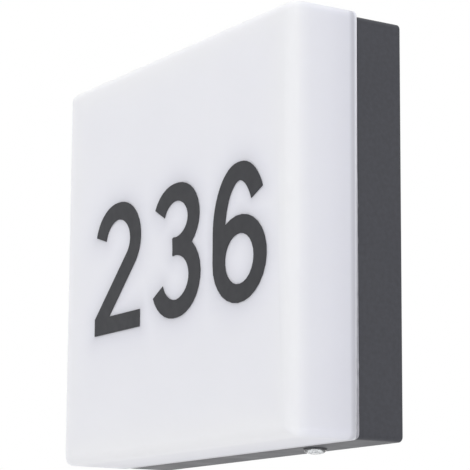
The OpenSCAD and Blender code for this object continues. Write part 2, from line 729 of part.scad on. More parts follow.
module wire_earth() color("#6fa548") place() {
    from = pole_exit(0);
    to = [barrel_x - 1.5, earth_at[1], pad_z + tag_sheet / 2];
    leave = from + [2 * wire_lead, 0, 0];
    arrive = to - [barrel_length + wire_lead, 0, 0];
    run = arrive - leave;
    wire([from, from + [wire_lead, 0, 0], leave, leave + [run[0] * 0.33, run[1] * 0.25, run[2] * 0.25],
          leave + [run[0] * 0.67, run[1] * 0.75, run[2] * 0.75], arrive,
          to - [barrel_length, 0, 0], to]);
}

// Two lamp wires from the driver up through the tray to the third LED board
module lamp_wires() color("#e9e9e6") place() for (k = [0, 1]) {
    out_x = driver_at[0] - driver_length / 2;
    y = driver_at[1] + lamp_entry_y[k];
    up_x = feed_at[0] + (k - 0.5) * lamp_wire_spread;
    high = tray_top + 4 + k;
    board_y = row_y[2] + board_width / 2 - 2;
    wire([[out_x + driver_wall + wire_entry, y, lamp_entry_z], [out_x - 1, y, lamp_entry_z],
          [out_x - 5, y, lamp_entry_z], [up_x + 4, y - 1 - 1.4 * k, lamp_entry_z + 2],
          [up_x, feed_at[1], tray_z - 2],
          [up_x, feed_at[1], tray_top + 2], [up_x, feed_at[1] - 3, high],
          [up_x, board_y + 2, board_top + lamp_wire_radius + 1.6],
          [up_x, board_y, board_top + lamp_wire_radius]], lamp_wire_radius);
}

// Puts a piece on the sensor's axis: z = 0 on the outer face of the bottom wall, pointing out of the box
module on_sensor() translate([sensor_x, -box_h / 2, sensor_z]) rotate([90, 0, 0]) children();

// Clear dome with its flange and hollow neck
module sensor_dome() color("#d7dde0", 0.6) place() on_sensor() difference() {
    flange = washer_sheet + 0.7;
    rise = dome_height - flange;
    curve_radius = (dome_radius * dome_radius + rise * rise) / (2 * rise);
    union() {
        translate([0, 0, washer_sheet]) cylinder(h = flange - washer_sheet, r = dome_radius);
        translate([0, 0, -neck_length]) cylinder(h = neck_length + flange, r = neck_radius);
        intersection() {
            translate([0, 0, dome_height - curve_radius]) sphere(curve_radius);
            translate([0, 0, flange - 0.1]) cylinder(h = rise + beyond, r = dome_radius);
        }
    }
    translate([0, 0, -neck_length - beyond])
        cylinder(h = neck_length + flange + beyond, r = neck_radius - neck_wall);
}

module sensor_washer() color("#1f2022") place() on_sensor() difference() {
    cylinder(h = washer_sheet, r = dome_radius + 0.5);
    translate([0, 0, -beyond]) cylinder(h = washer_sheet + 2 * beyond, r = neck_radius + seat);
}

module sensor_nut() color("#2b2b2d") place() on_sensor() translate([0, 0, -box_wall - nut_height])
    difference() {
        cylinder(h = nut_height, r = nut_radius, $fn = 6);
        translate([0, 0, -beyond]) cylinder(h = nut_height + 2 * beyond, r = neck_radius + seat);
    }

module sensor_board() color("#2f6b3c") place()
    translate([sensor_x - sensor_board_width / 2, sensor_board_y, box_wall])
        cube([sensor_board_width, sensor_board_sheet, sensor_board_top - box_wall]);

module photocell() color("#d8a08a") place() on_sensor() translate([0, 0, -sensor_board_in])
    cylinder(h = photocell_length, r = photocell_radius);

// Two sensor wires along the right side of the floor to the driver
module sensor_wires() color("#55585c") place() for (k = [0, 1]) {
    lift = [0, 0, k * sensor_wire_spread];
    low = box_wall + sensor_wire_radius + touch;
    side_x = slot_spacing_across / 2 + slot_length / 2 + 6;
    in_x = driver_at[0] + driver_length / 2;
    in_y = driver_at[1] + sensor_entry_y;
    from = [sensor_x + 5, sensor_board_y + sensor_board_sheet, box_wall + 3];
    wire([from + lift, from + [0, wire_lead, 0] + lift, from + [0, 2 * wire_lead, 0] + lift,
          [sensor_x + 9, from[1] + 15, low] + lift, [side_x - 6, -slot_spacing_up / 2 - 30, low] + lift,
          [side_x, -slot_spacing_up / 2 - 14, low] + lift, [side_x, -slot_spacing_up / 4, low] + lift,
          [side_x, 10, low] + lift, [side_x - 8, in_y - 12, low + 2] + lift,
          [in_x + 16, in_y - 2, sensor_entry_z - 1] + lift, [in_x + 6, in_y, sensor_entry_z] + lift,
          [in_x + 1, in_y, sensor_entry_z] + lift,
          [in_x - driver_wall - wire_entry, in_y, sensor_entry_z] + lift], sensor_wire_radius);
}

// Opal cover: a deep rounded cap with a locating lip at its open back
module diffuser() color("#eef0f4") place() {
    translate([0, cover_raise, rim_z]) difference() {
        soft_block(width, height, cover_corner, cover_edge, depth - rim_z);
        translate([0, 0, -beyond])
            soft_block(width - 2 * cover_wall, height - 2 * cover_wall, cover_corner - cover_wall,
                       cover_edge - cover_wall, depth - cover_wall - rim_z + beyond);
    }
    translate([0, 0, rim_z]) linear_extrude(shelf_height) difference() {
        translate([0, cover_raise])
            rounded(width - cover_wall, height - cover_wall, cover_corner - cover_wall / 2);
        rounded(lip_room_w, lip_room_h, max(lip_corner - lip_wall, least_corner));
    }
    translate([0, 0, rim_z - lip_depth])
        ring(lip_w, lip_h, lip_corner, lip_wall, lip_depth + shelf_height / 2);
}

// Arc of an ellipse with its half width and half height, from one angle to another
arc_steps = 24;
function arc(centre, half, from, to) =
    [for (i = [0 : arc_steps]) let (a = from + (to - from) * i / arc_steps)
        centre + [half[0] * cos(a), half[1] * sin(a)]];

// Edge of a stroke along a line of points, wide where it runs upright and slimmer where it runs level:
// s is 1 for its left edge and -1 for its right edge
function way(p, i) = unit(p[min(i + 1, len(p) - 1)] - p[max(i - 1, 0)]);
function stroke_half(v) = (stroke_level + (stroke_upright - stroke_level) * abs(v[1])) / 2;
function stroke_edge(p, s) =
    [for (i = [0 : len(p) - 1]) p[i] + s * side(way(p, i)) * stroke_half(way(p, i))];
function turned(p) = [for (i = [len(p) - 1 : -1 : 0]) p[i]];
function stroke(p) = concat(stroke_edge(p, 1), turned(stroke_edge(p, -1)));

middle = figure_width / 2;
half_level = stroke_level / 2;
bowl_half = (figure_width - stroke_upright) / 2;
top_line = figure_height - half_level;

// The figure two: a round head, a slanting stroke and a base
module two() {
    head = 0.235 * figure_height;
    p = arc([middle, top_line - head], [bowl_half, head], 168, -38);
    base = [[1.4 * stroke_upright, stroke_level], [figure_width, stroke_level], [figure_width, 0], [0, 0],
            [0, stroke_level]];
    polygon(concat(stroke_edge(p, 1), base, turned(stroke_edge(p, -1))));
}

// The figure three: two bowls that meet at the waist
module three() {
    waist = 0.53 * figure_height;
    head = (top_line - waist) / 2;
    foot = (waist - half_level) / 2;
    polygon(stroke(arc([middle, waist + head], [bowl_half - 1.5, head], 160, -100)));
    polygon(stroke(arc([middle, half_level + foot], [bowl_half, foot], 100, -160)));
}

// The figure six: a closed bowl and a curved back that ends over it
module six() {
    bowl = 0.245 * figure_height;
    back = 0.4 * figure_height;
    centre = [middle, half_level + bowl];
    meet = acos((stroke_upright - middle) / middle);
    from_bowl = arc([middle, top_line - back], [bowl_half, back], 168, 32);
    from_side = arc([middle, top_line - back], [bowl_half, back], 180, 32);
    difference() {
        polygon(concat(arc(centre, [middle, bowl + half_level], 180, 360 + meet),
                       stroke_edge(from_bowl, -1), turned(stroke_edge(from_side, 1))));
        polygon(arc(centre, [middle - stroke_upright, bowl - half_level], 0, 360 - 360 / arc_steps));
    }
}

// Puts a figure on the front of the cover, counted from the left
module on_front(count) color("#46484d") place()
    translate([number_right + (count - 1) * (figure_width + figure_gap) - middle,
               cover_raise - number_down - figure_height / 2, depth])
        linear_extrude(film_thickness) children();
module figure_first() on_front(0) two();
module figure_second() on_front(1) three();
module figure_third() on_front(2) six();

back_box();
wall_foam();
cable_grommet();
cover_seal();
cover_clips();
clip_screws();
gear_tray();
tray_screws();
tray_grommet();
led_board_1();
led_board_2();
led_board_3();
led_board_4();
led_chips();
board_screws();
board_links();
driver_case();
driver_lid();
driver_board();
driver_transformer();
driver_capacitors();
driver_choke();
driver_screws();
terminal_block();
terminal_bars();
terminal_springs();
terminal_screws();
lever_earth();
lever_neutral();
lever_live();
earth_tag();
earth_screw();
wire_live();
wire_neutral();
wire_earth();
lamp_wires();
sensor_dome();
sensor_washer();
sensor_nut();
sensor_board();
photocell();
sensor_wires();
diffuser();
figure_first();
figure_second();
figure_third();
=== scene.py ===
"""Looks of an outdoor wall light with a house number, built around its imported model.

Shapes are worked out lying on the back, as on a bench: x to the right, y up, z out of the wall. The
function on_wall stands them up in the part's frame, whose unit is the metre.
"""

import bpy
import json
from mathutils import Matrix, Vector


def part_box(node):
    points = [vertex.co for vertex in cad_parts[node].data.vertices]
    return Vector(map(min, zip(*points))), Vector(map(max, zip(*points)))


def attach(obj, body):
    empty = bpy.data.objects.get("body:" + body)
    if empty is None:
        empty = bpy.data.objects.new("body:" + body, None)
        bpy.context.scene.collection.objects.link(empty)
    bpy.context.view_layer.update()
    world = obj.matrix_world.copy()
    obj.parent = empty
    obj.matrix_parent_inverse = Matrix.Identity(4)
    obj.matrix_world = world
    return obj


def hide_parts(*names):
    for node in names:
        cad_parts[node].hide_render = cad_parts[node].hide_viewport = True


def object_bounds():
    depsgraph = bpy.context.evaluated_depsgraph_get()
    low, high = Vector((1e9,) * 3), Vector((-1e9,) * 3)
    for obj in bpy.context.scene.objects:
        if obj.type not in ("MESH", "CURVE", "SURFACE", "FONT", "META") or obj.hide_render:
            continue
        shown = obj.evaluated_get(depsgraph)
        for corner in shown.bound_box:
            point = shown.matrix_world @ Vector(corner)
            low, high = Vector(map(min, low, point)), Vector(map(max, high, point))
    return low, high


bl_info = {
    "name": "House-number wall light",
    "version": (1, 0, 0),
    "blender": (4, 5, 0),
    "location": "3D View > Sidebar > Wall Light",
    "description": "Dresses the cover, casing, lamp tray and wiring of a square outdoor wall light",
    "category": "Add Mesh",
}

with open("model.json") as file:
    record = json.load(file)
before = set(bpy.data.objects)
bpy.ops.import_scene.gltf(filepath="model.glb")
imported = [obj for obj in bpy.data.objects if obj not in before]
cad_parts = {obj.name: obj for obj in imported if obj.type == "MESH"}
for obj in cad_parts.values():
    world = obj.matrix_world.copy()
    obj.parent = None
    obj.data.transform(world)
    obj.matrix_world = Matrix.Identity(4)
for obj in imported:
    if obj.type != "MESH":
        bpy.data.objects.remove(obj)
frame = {"nodes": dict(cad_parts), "record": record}
cad_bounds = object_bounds()

import json
import math
from functools import cache

import bmesh
import bpy
from bpy.props import FloatProperty, FloatVectorProperty, PointerProperty
from bpy.types import Operator, Panel, PropertyGroup
from mathutils import Matrix, Vector, noise
from mathutils.bvhtree import BVHTree

MM = 0.001
HAIR = 0.01 * MM        # slack when two places are compared
WELD = 1e-6             # points closer than this are one
POLE = 0.02 * MM        # radius of a turned shape at its tip
LEAST_RADIUS = 0.3 * MM     # of a round corner
CORNER_STEPS = 14       # points along a round corner, less one
CREASE = math.radians(35)
NOISE_LOW, NOISE_HIGH = 0.3, 0.7    # most values of a noise lie between these
WAVES = 3.2             # of a wave texture to the metre, at scale 1
GRID = 2.5 * MM         # side of the squares that the cover's face is cut into
SEAL_STEP = 1.1 * MM    # how far the seal comes forward under the rim on the left and right sides
STEP_FADE = 85 * MM     # distance from the top over which that grows from nothing
SMALL_SCREW = (1.3 * MM, 2.6 * MM, 1.6 * MM)    # radius of the shank and of the head, rise of the head
LARGE_SCREW = (1.7 * MM, 3.6 * MM, 2.2 * MM)
SCREW_TURN = 37         # degrees from one screw's recess to the next one's
LAMP_SIDE = 1.2         # side of a square lamp, in metres
SENSOR_WIDTH = 36.0     # of the camera, in millimetres
FIGURES = ("figure_first", "figure_second", "figure_third")


# Settings

def length(name, description, default):
    return FloatProperty(name=name, description=description, default=default, min=0.0, max=1.0,
                         precision=5, unit="LENGTH")


def colour(name, description, default):
    return FloatVectorProperty(name=name, description=description, default=default, min=0.0, max=1.0,
                               size=3, subtype="COLOR")


def angle(name, description, degrees):
    return FloatProperty(name=name, description=description, default=math.radians(degrees),
                         subtype="ANGLE", unit="ROTATION")


def power(name, description, watts):
    return FloatProperty(name=name, description=description, default=watts, unit="POWER")


class CoverSettings(PropertyGroup):
    """Sizes and colours of the opal cover, its figures and its seal"""
    wall: length("Wall", "Thickness of the opal cover", 2.5 * MM)
    corner: length("Corner", "Corner radius of the cover, seen from the front", 4.2 * MM)
    edge: length("Edge", "Radius of the rounded front edge", 6 * MM)
    lip_corner: length("Lip corner", "Corner radius of the locating lip", 1 * MM)
    lip_wall: length("Lip wall", "Thickness of the locating lip", 1.8 * MM)
    lip_gap: length("Lip gap", "How far the lip stands in from the side of the cover", 4.4 * MM)
    shelf: length("Shelf", "Thickness of the flange that carries the lip", 2.5 * MM)
    opal: colour("Opal", "Colour of the opal plastic", (0.862, 0.868, 0.95))
    film: colour("Film", "Colour of the adhesive figures", (0.032, 0.033, 0.038))
    # the real seal is milky white; its colour here is greyed, as painted shade of the gap it sits in
    seal: colour("Seal", "Colour of the seal behind the cover", (0.355, 0.355, 0.395))


class CasingSettings(PropertyGroup):
    """Sizes and colours of the casing on the wall and what sits in it"""
    corner: length("Corner", "Corner radius of the casing, seen from the front", 3 * MM)
    edge: length("Edge", "Width of the softened edges of the casing", 0.35 * MM)
    coat: colour("Coat", "Colour of the powder coat", (0.034, 0.0355, 0.046))
    rubber: colour("Rubber", "Colour of grommets and foam", (0.014, 0.014, 0.015))
    dome: colour("Dome", "Tint of the clear sensor dome", (0.93, 0.95, 0.97))


class InsideSettings(PropertyGroup):
    """Colours of what the cover hides"""
    tray: colour("Tray", "White paint of the lamp tray", (0.82, 0.83, 0.83))
    mask: colour("Board mask", "White mask of the LED boards", (0.80, 0.81, 0.78))
    phosphor: colour("Phosphor", "Colour of the unlit LEDs", (0.85, 0.60, 0.10))
    circuit: colour("Circuit board", "Green mask of the two circuit boards", (0.02, 0.12, 0.045))
    plastic: colour("Driver plastic", "Moulded case of the driver", (0.80, 0.80, 0.78))
    terminal: colour("Terminal plastic", "Moulded block of the mains terminal", (0.62, 0.64, 0.66))
    live: colour("Live", "Live wire and its lever", (0.17, 0.055, 0.022))
    neutral: colour("Neutral", "Neutral wire and its lever", (0.035, 0.13, 0.42))
    earth: colour("Earth", "Green of the earth wire and its lever", (0.06, 0.30, 0.055))
    stripe: colour("Earth stripe", "Yellow stripe of the earth wire", (0.75, 0.60, 0.06))


class StageSettings(PropertyGroup):
    """Camera, lamps and floor"""
    place: FloatVectorProperty(name="Camera place", description="Where the camera stands",
                               default=(0.9919, -0.6666, -0.2145), size=3, subtype="TRANSLATION")
    turn: angle("Turn", "Heading of the camera from straight at the wall", -57.238)
    rise: angle("Rise", "How far the camera looks up", 9.960)
    roll: angle("Roll", "Tilt of the camera about its line of sight", 0.361)
    lens: FloatProperty(name="Lens", description="Focal length for a 36 mm wide sensor", default=159.36,
                        min=20.0, max=400.0, subtype="DISTANCE_CAMERA")
    shift: FloatProperty(name="Shift", description="Rise of the picture over the line of sight",
                         default=0.0745)
    ambient: FloatProperty(name="Ambient", description="Strength of the even light around", default=0.925)
    top: power("Top lamp", "Power of the lamp above the front", 4.0)
    side: power("Side lamp", "Power of the lamp on the right", 3.0)
    floor_drop: length("Floor drop", "How far the floor lies under the light", 0.25)
    floor: colour("Floor", "Colour of the floor", (0.86, 0.86, 0.86))


# Shapes

def on_wall(x, y, z):
    """A point measured lying on the back, in the part's frame."""
    return Vector((x, -z, y))


class Room:
    """The box of a node, measured lying on the back."""

    def __init__(self, low, high):
        self.left, self.right = low.x, high.x
        self.bottom, self.top = low.z, high.z
        self.back, self.front = -high.y, -low.y
        self.width = high.x - low.x
        self.height = high.z - low.z
        self.middle = Vector(((low.x + high.x) / 2, (low.z + high.z) / 2, -(low.y + high.y) / 2))


def room(node):
    return Room(*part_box(node))


def outline(width, height, radius, side_steps=1):
    """Points of a rectangle with round corners, about the middle."""
    radius = max(radius, LEAST_RADIUS)
    points = []
    for start, sx, sy in ((0, 1, 1), (90, -1, 1), (180, -1, -1), (270, 1, -1)):
        for i in range(CORNER_STEPS + 1):
            a = math.radians(start + 90 * i / CORNER_STEPS)
            points.append((sx * (width / 2 - radius) + radius * math.cos(a),
                           sy * (height / 2 - radius) + radius * math.sin(a)))
    full = []
    for i, (x, y) in enumerate(points):
        full.append((x, y))
        if i % (CORNER_STEPS + 1) == CORNER_STEPS:
            nx, ny = points[(i + 1) % len(points)]
            full += [(x + (nx - x) * k / side_steps, y + (ny - y) * k / side_steps)
                     for k in range(1, side_steps)]
    return full


def step_shares(points, width, height):
    """How much of the seal's step each point of an outline has.

    The left and right sides have all of it but for their top, where it fades out. The upper and the
    lower side have none.
    """
    shares = []
    for x, y in points:
        side, end = width / 2 - abs(x), height / 2 - abs(y)
        shares.append(end / (side + end) * min((height / 2 - y) / STEP_FADE, 1.0))
    return shares


def arc(centre, radius, start, end, steps):
    """Points on a circle from one angle to another, both in degrees."""
    angles = [math.radians(start + (end - start) * i / steps) for i in range(steps + 1)]
    return [(centre[0] + radius * math.cos(a), centre[1] + radius * math.sin(a)) for a in angles]


def frames(width, height, radius, profile, shrink=1.0, lift=0.0):
    """One rounded frame for each point of a profile, given as distance inwards and height.

    shrink is what the corner radius loses for each unit inwards, and lift how far the frames stand above
    the middle.
    """
    return [[on_wall(x, y + lift, z) for x, y in
             outline(width - 2 * inset, height - 2 * inset, radius - shrink * inset)]
            for inset, z in profile]


def loft(rings, closed=False):
    """Points and faces of a skin over rings of equally many points, capped unless it closes on itself."""
    count, around = len(rings), len(rings[0])
    faces = []
    for i in range(count if closed else count - 1):
        a, b = i * around, (i + 1) % count * around
        faces += [(a + k, a + (k + 1) % around, b + (k + 1) % around, b + k) for k in range(around)]
    if not closed:
        faces += [tuple(range(around))[::-1], tuple(range((count - 1) * around, count * around))]
    return [p for ring in rings for p in ring], faces


def lathe(profile, place, around=64, closed=False):
    """Skin of a profile, given as radius and height, turned about an axis that place stands up."""
    rings = [[place(r * math.cos(2 * math.pi * k / around), r * math.sin(2 * math.pi * k / around), h)
              for k in range(around)] for r, h in profile]
    return loft(rings, closed)


def block(size, top, bevel):
    """Points and faces of a box with chamfered edges, from the back of a room up to a height."""
    rings = []
    for inset, z in ((bevel, size.back), (0, size.back + bevel), (0, top - bevel), (bevel, top)):
        x0, y0, x1, y1 = size.left + inset, size.bottom + inset, size.right - inset, size.top - inset
        c = bevel - inset * 0.5
        rings.append([on_wall(x, y, z) for x, y in (
            (x0 + c, y0), (x1 - c, y0), (x1, y0 + c), (x1, y1 - c),
            (x1 - c, y1), (x0 + c, y1), (x0, y1 - c), (x0, y0 + c))])
    return loft(rings)


def joined(*parts):
    """Points, faces and material numbers of several skins in one mesh."""
    points, faces, numbers = [], [], []
    for number, (more, more_faces) in parts:
        faces += [tuple(i + len(points) for i in f) for f in more_faces]
        numbers += [number] * len(more_faces)
        points += more
    return points, faces, numbers


def settle(mesh, crease=CREASE):
    """Faces look outwards, and the shading is smooth up to the crease angle."""
    work = bmesh.new()
    work.from_mesh(mesh)
    bmesh.ops.recalc_face_normals(work, faces=work.faces)
    work.to_mesh(mesh)
    work.free()
    mesh.shade_smooth()
    mesh.set_sharp_from_angle(angle=crease)


def add_object(name, data):
    """A new object in the scene."""
    thing = bpy.data.objects.new(name, data)
    bpy.context.scene.collection.objects.link(thing)
    return thing


def add_piece(name, mesh, body, looks, nodes):
    """Puts a mesh in the scene as a piece that rides on a body and stands for its nodes.

    looks are the names of its finishes.
    """
    piece = add_object(name, mesh)
    for look in looks:
        mesh.materials.append(finishes()[look])
    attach(piece, body)
    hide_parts(*nodes)
    return piece


def skin_mesh(name, skin, crease=CREASE):
    """A mesh from points and faces, with material numbers where it has several."""
    points, faces, *numbers = skin
    mesh = bpy.data.meshes.new(name)
    mesh.from_pydata(points, [], faces)
    if numbers:
        mesh.polygons.foreach_set("material_index", numbers[0])
    settle(mesh, crease)
    return mesh


def make(name, skin, looks, nodes, crease=CREASE, body="base"):
    """A piece from points and faces, on the base unless another body is given."""
    return add_piece(name, skin_mesh(name, skin, crease), body, looks, nodes)


def welded(node):
    """A working copy of a node's mesh without its doubled points."""
    work = bmesh.new()
    work.from_mesh(frame["nodes"][node].data)
    bmesh.ops.remove_doubles(work, verts=work.verts, dist=WELD)
    return work


def to_mesh(work, name):
    mesh = bpy.data.meshes.new(name)
    work.to_mesh(mesh)
    work.free()
    return mesh


def softened(name, node, looks, width, paint=None, body="base"):
    """A piece with a node's shape and softened edges. paint gives a face's material number."""
    work = welded(node)
    bmesh.ops.dissolve_limit(work, angle_limit=math.radians(0.5), verts=work.verts, edges=work.edges)
    sharp = [e for e in work.edges if e.is_manifold and e.calc_face_angle(0.0) > CREASE]
    bmesh.ops.bevel(work, geom=sharp, offset=width, offset_type="OFFSET", segments=2, profile=0.5,
                    affect="EDGES", clamp_overlap=False)
    if paint:
        for face in work.faces:
            face.material_index = paint(face)
    mesh = to_mesh(work, name)
    settle(mesh)
    piece = add_piece(name, mesh, body, looks, [node])
    even = piece.modifiers.new("Even shading", "WEIGHTED_NORMAL")
    even.keep_sharp = True


def stripe(work):
    """Gives the second material to two opposite stripes of a wire whose left end faces left."""
    end = min(v.co.x for v in work.verts) + HAIR
    rim = [v.co for v in work.verts if v.co.x < end]
    middle = sum(rim, Vector()) / len(rim)
    for edge in [e for e in work.edges if all(v.co.x < end for v in e.verts)]:
        out = (edge.verts[0].co + edge.verts[1].co) / 2 - middle
        face = next((f for f in edge.link_faces if abs(f.normal.x) < 0.5), None)
        if face is None or out.y * out.z < 0:
            continue
        while face and len(face.verts) == 4 and face.material_index == 0:
            face.material_index = 1
            edge = next(e for e in face.edges if not set(e.verts) & set(edge.verts))
            face = next((f for f in edge.link_faces if f is not face), None)


def rounded_wire(name, node, looks):
    """A smooth wire along a node's eight-sided one, with two stripes of its second finish, if any."""
    work = welded(node)
    bmesh.ops.join_triangles(work, faces=work.faces, angle_face_threshold=math.pi,
                             angle_shape_threshold=math.pi)
    work.normal_update()
    if len(looks) > 1:
        stripe(work)
    mesh = to_mesh(work, name)
    settle(mesh, math.pi)
    piece = add_piece(name, mesh, "base", looks, [node])
    smooth = piece.modifiers.new("Round", "SUBSURF")
    smooth.levels = smooth.render_levels = 2


def solids(node):
    """The rooms of the separate solids of a node, in the order of their points."""
    work = welded(node)
    rooms, seen = [], set()
    for start in work.verts:
        if start.index in seen:
            continue
        stack, found = [start], []
        seen.add(start.index)
        while stack:
            vert = stack.pop()
            found.append(vert.co.copy())
            for edge in vert.link_edges:
                other = edge.other_vert(vert)
                if other.index not in seen:
                    seen.add(other.index)
                    stack.append(other)
        low = Vector(min(p[i] for p in found) for i in range(3))
        high = Vector(max(p[i] for p in found) for i in range(3))
        rooms.append(Room(low, high))
    work.free()
    return rooms


# Materials

class Nodes:
    """A tree whose nodes are added one by one."""

    def __init__(self, tree):
        self.tree = tree

    def feed(self, node, inputs):
        """Gives inputs a value or another node's output. They go by name, or by number after a _."""
        for key, value in inputs.items():
            socket = node.inputs[int(key[1:]) if key[1:].isdigit() else key.replace("_", " ")]
            if isinstance(value, bpy.types.NodeSocket):
                self.tree.links.new(value, socket)
            else:
                socket.default_value = value

    def add(self, kind, settings=None, **inputs):
        """Adds a node with its settings and its inputs."""
        node = self.tree.nodes.new("ShaderNode" + kind)
        for key, value in (settings or {}).items():
            setattr(node, key, value)
        self.feed(node, inputs)
        return node


class Shader(Nodes):
    """The nodes of a material, in the part's own coordinates.

    Where a pattern is asked for, it is another node's output, or the number of noise blots to the metre.
    """

    def __init__(self, name):
        self.material = bpy.data.materials.new(name)
        self.material.use_nodes = True
        super().__init__(self.material.node_tree)
        self.place = self.add("TexCoord").outputs["Object"]

    def done(self, **inputs):
        """Feeds the surface shader and gives the material."""
        self.feed(self.tree.nodes["Principled BSDF"], inputs)
        return self.material

    def speckle(self, scale, detail=2.0, stretch=(1, 1, 1)):
        """Noise from 0 to 1 with about so many blots to the metre."""
        place = self.place
        if stretch != (1, 1, 1):
            place = self.add("Mapping", Vector=place, Scale=stretch).outputs[0]
        return self.add("TexNoise", Vector=place, Scale=scale, Detail=detail).outputs[0]

    def given(self, pattern):
        return pattern if isinstance(pattern, bpy.types.NodeSocket) else self.speckle(pattern)

    def between(self, pattern, low, high):
        """Turns a pattern into a value between two limits."""
        return self.add("MapRange", Value=self.given(pattern), From_Min=NOISE_LOW, From_Max=NOISE_HIGH,
                        To_Min=low, To_Max=high).outputs[0]

    def mixed(self, pattern, dark, light):
        """Mixes two colours by a pattern."""
        return self.add("Mix", {"data_type": "RGBA"}, _0=self.between(pattern, 0.0, 1.0),
                        _6=(*dark, 1), _7=(*light, 1)).outputs[2]

    def tones(self, pattern, tint, low, high):
        """Mixes two tones of a tint by a pattern."""
        dark, light = ([min(max(c * amount, 0.0), 1.0) for c in tint] for amount in (low, high))
        return self.mixed(pattern, dark, light)

    def relief(self, pattern, depth, strength=1.0):
        """Normal of a bumpy surface whose bumps are so many millimetres deep."""
        return self.add("Bump", Strength=strength, Distance=depth * MM,
                        Height=self.given(pattern)).outputs[0]


def sinking(weight, depth):
    """Inputs of a surface that light sinks into, about so many millimetres deep."""
    return {"Subsurface_Weight": weight, "Subsurface_Radius": (1.0, 1.0, 1.0),
            "Subsurface_Scale": depth * MM}


def grained(name, tint, roughness, grain, depth, drift, blot=60.0, **surface):
    """Plain stuff with slow drifts of tone, fine relief so many millimetres deep, and uneven gloss."""
    shader = Shader(name)
    return shader.done(
        Base_Color=shader.tones(blot, tint, 1 - drift, 1 + drift),
        Roughness=shader.between(blot * 3, roughness - 0.05, roughness + 0.05),
        Normal=shader.relief(shader.speckle(grain, 3.0), depth), **surface)


def powder_coat(tint):
    """Fine matt powder coat: tiny domes that run into each other, with a few brighter grains."""
    shader = Shader("powder_coat")
    cells = shader.add("TexVoronoi", {"feature": "SMOOTH_F1"}, Vector=shader.place, Scale=1500.0,
                       Smoothness=0.6).outputs[0]
    height = shader.add("Math", {"operation": "ADD"}, _0=cells, _1=shader.speckle(900.0, 3.0)).outputs[0]
    return shader.done(
        Base_Color=shader.tones(shader.speckle(420.0, 4.0), tint, 0.88, 1.12),
        Roughness=shader.between(45.0, 0.40, 0.50), Normal=shader.relief(height, 0.03, 0.6),
        Specular_IOR_Level=0.5)


# Painted shade on the opal plastic: how light its colour is made at so many millimetres before the seam,
# darkest in a line just before the rim
SEAM_PAINTED_SHADE = ((37.0, 1.0), (29.0, 0.917), (17.0, 0.875), (8.0, 0.833), (4.4, 0.818), (2.9, 0.68),
              (1.6, 0.625), (0.9, 0.68), (0.4, 0.81), (0.0, 0.81))
FACE_PAINTED_SHADE = 0.953       # how light the middle of the face is painted against its edges, which carry a painted glow
PAINTED_EDGE_GLOW = 14 * MM     # how fast the painted glow of the edges dies away inwards
PAINTED_SHADOW_TONE = 0.80      # how light the painted shadow leaves the opal plastic right beside a figure
PAINTED_SHADOW_REACH = 6.5 * MM     # how fast that painted shadow dies away from it


def opal_plastic(tint, seam):
    """Opal plastic with a satin skin. Painted shade darkens it towards the casing, but for a lighter rim.
    """
    shader = Shader("opal_plastic")
    out = shader.add("SeparateXYZ", Vector=shader.place).outputs["Y"]
    reach = SEAM_PAINTED_SHADE[0][0] * MM
    along = shader.add("MapRange", Value=out, From_Min=seam - reach, From_Max=seam).outputs[0]
    ramp = shader.add("ValToRGB", Fac=along)
    for i, (before, amount) in enumerate(SEAM_PAINTED_SHADE):
        at = 1 - before * MM / reach
        stop = ramp.color_ramp.elements[i] if i < 2 else ramp.color_ramp.elements.new(at)
        stop.position = at
        stop.color = (amount, amount, amount, 1)
    # painted shade towards the seam (the ramp) and the painted glow and shadow of the face (its tone)
    # multiply the colour
    face = shader.add("Attribute", {"attribute_name": "tone"}).outputs["Fac"]
    tint = shader.tones(shader.speckle(14.0, 1.0), tint, 0.992, 1.008)
    for tone in (ramp.outputs[0], face):
        tint = shader.add("Mix", {"data_type": "RGBA", "blend_type": "MULTIPLY"}, _0=1.0, _6=tint,
                          _7=tone).outputs[2]
    return shader.done(
        Base_Color=tint, Roughness=shader.between(70.0, 0.36, 0.42),
        Normal=shader.relief(700.0, 0.004, 0.5), Specular_IOR_Level=0.25, IOR=1.49, **sinking(1.0, 4))


def clear_plastic(tint):
    """Clear moulded plastic, a little uneven and hazy."""
    shader = Shader("clear_plastic")
    return shader.done(
        Base_Color=shader.tones(300.0, tint, 0.97, 1.0), Roughness=shader.between(400.0, 0.03, 0.09),
        Normal=shader.relief(250.0, 0.01, 0.4), Transmission_Weight=0.86, IOR=1.49)


def silicone(tint):
    """Milky silicone, pressed thin, with cloudy patches, in a tint greyed as painted shade."""
    shader = Shader("silicone_painted_shade")
    return shader.done(
        Base_Color=shader.tones(shader.speckle(220.0, 3.0), tint, 0.85, 1.1),
        Roughness=shader.between(160.0, 0.3, 0.45), Normal=shader.relief(500.0, 0.05, 0.6),
        **sinking(0.3, 1))


def sheet_metal(name, tint, roughness, stretch, scale=900.0):
    """Bare metal with drawn or rolled lines along one way."""
    shader = Shader(name)
    lines = shader.speckle(scale, 4.0, stretch)
    return shader.done(
        Base_Color=shader.tones(lines, tint, 0.9, 1.05),
        Roughness=shader.between(lines, roughness - 0.08, roughness + 0.08),
        Normal=shader.relief(lines, 0.01, 0.5), Metallic=1.0)


def zinc_plate():
    """Bright zinc on small screws, with a faint yellow and blue play of colour."""
    shader = Shader("zinc_plate")
    return shader.done(
        Base_Color=shader.mixed(700.0, (0.50, 0.50, 0.46), (0.58, 0.60, 0.64)),
        Roughness=shader.between(1500.0, 0.22, 0.38), Normal=shader.relief(3000.0, 0.006, 0.5),
        Metallic=1.0)


def closed_foam(tint):
    """Closed-cell foam with open pores on its cut face."""
    shader = Shader("closed_foam")
    pores = shader.add("TexVoronoi", Vector=shader.place, Scale=1100.0).outputs[0]
    return shader.done(
        Base_Color=shader.tones(pores, tint, 0.6, 1.9), Roughness=shader.between(pores, 0.75, 0.95),
        Normal=shader.relief(pores, 0.25, 0.9))


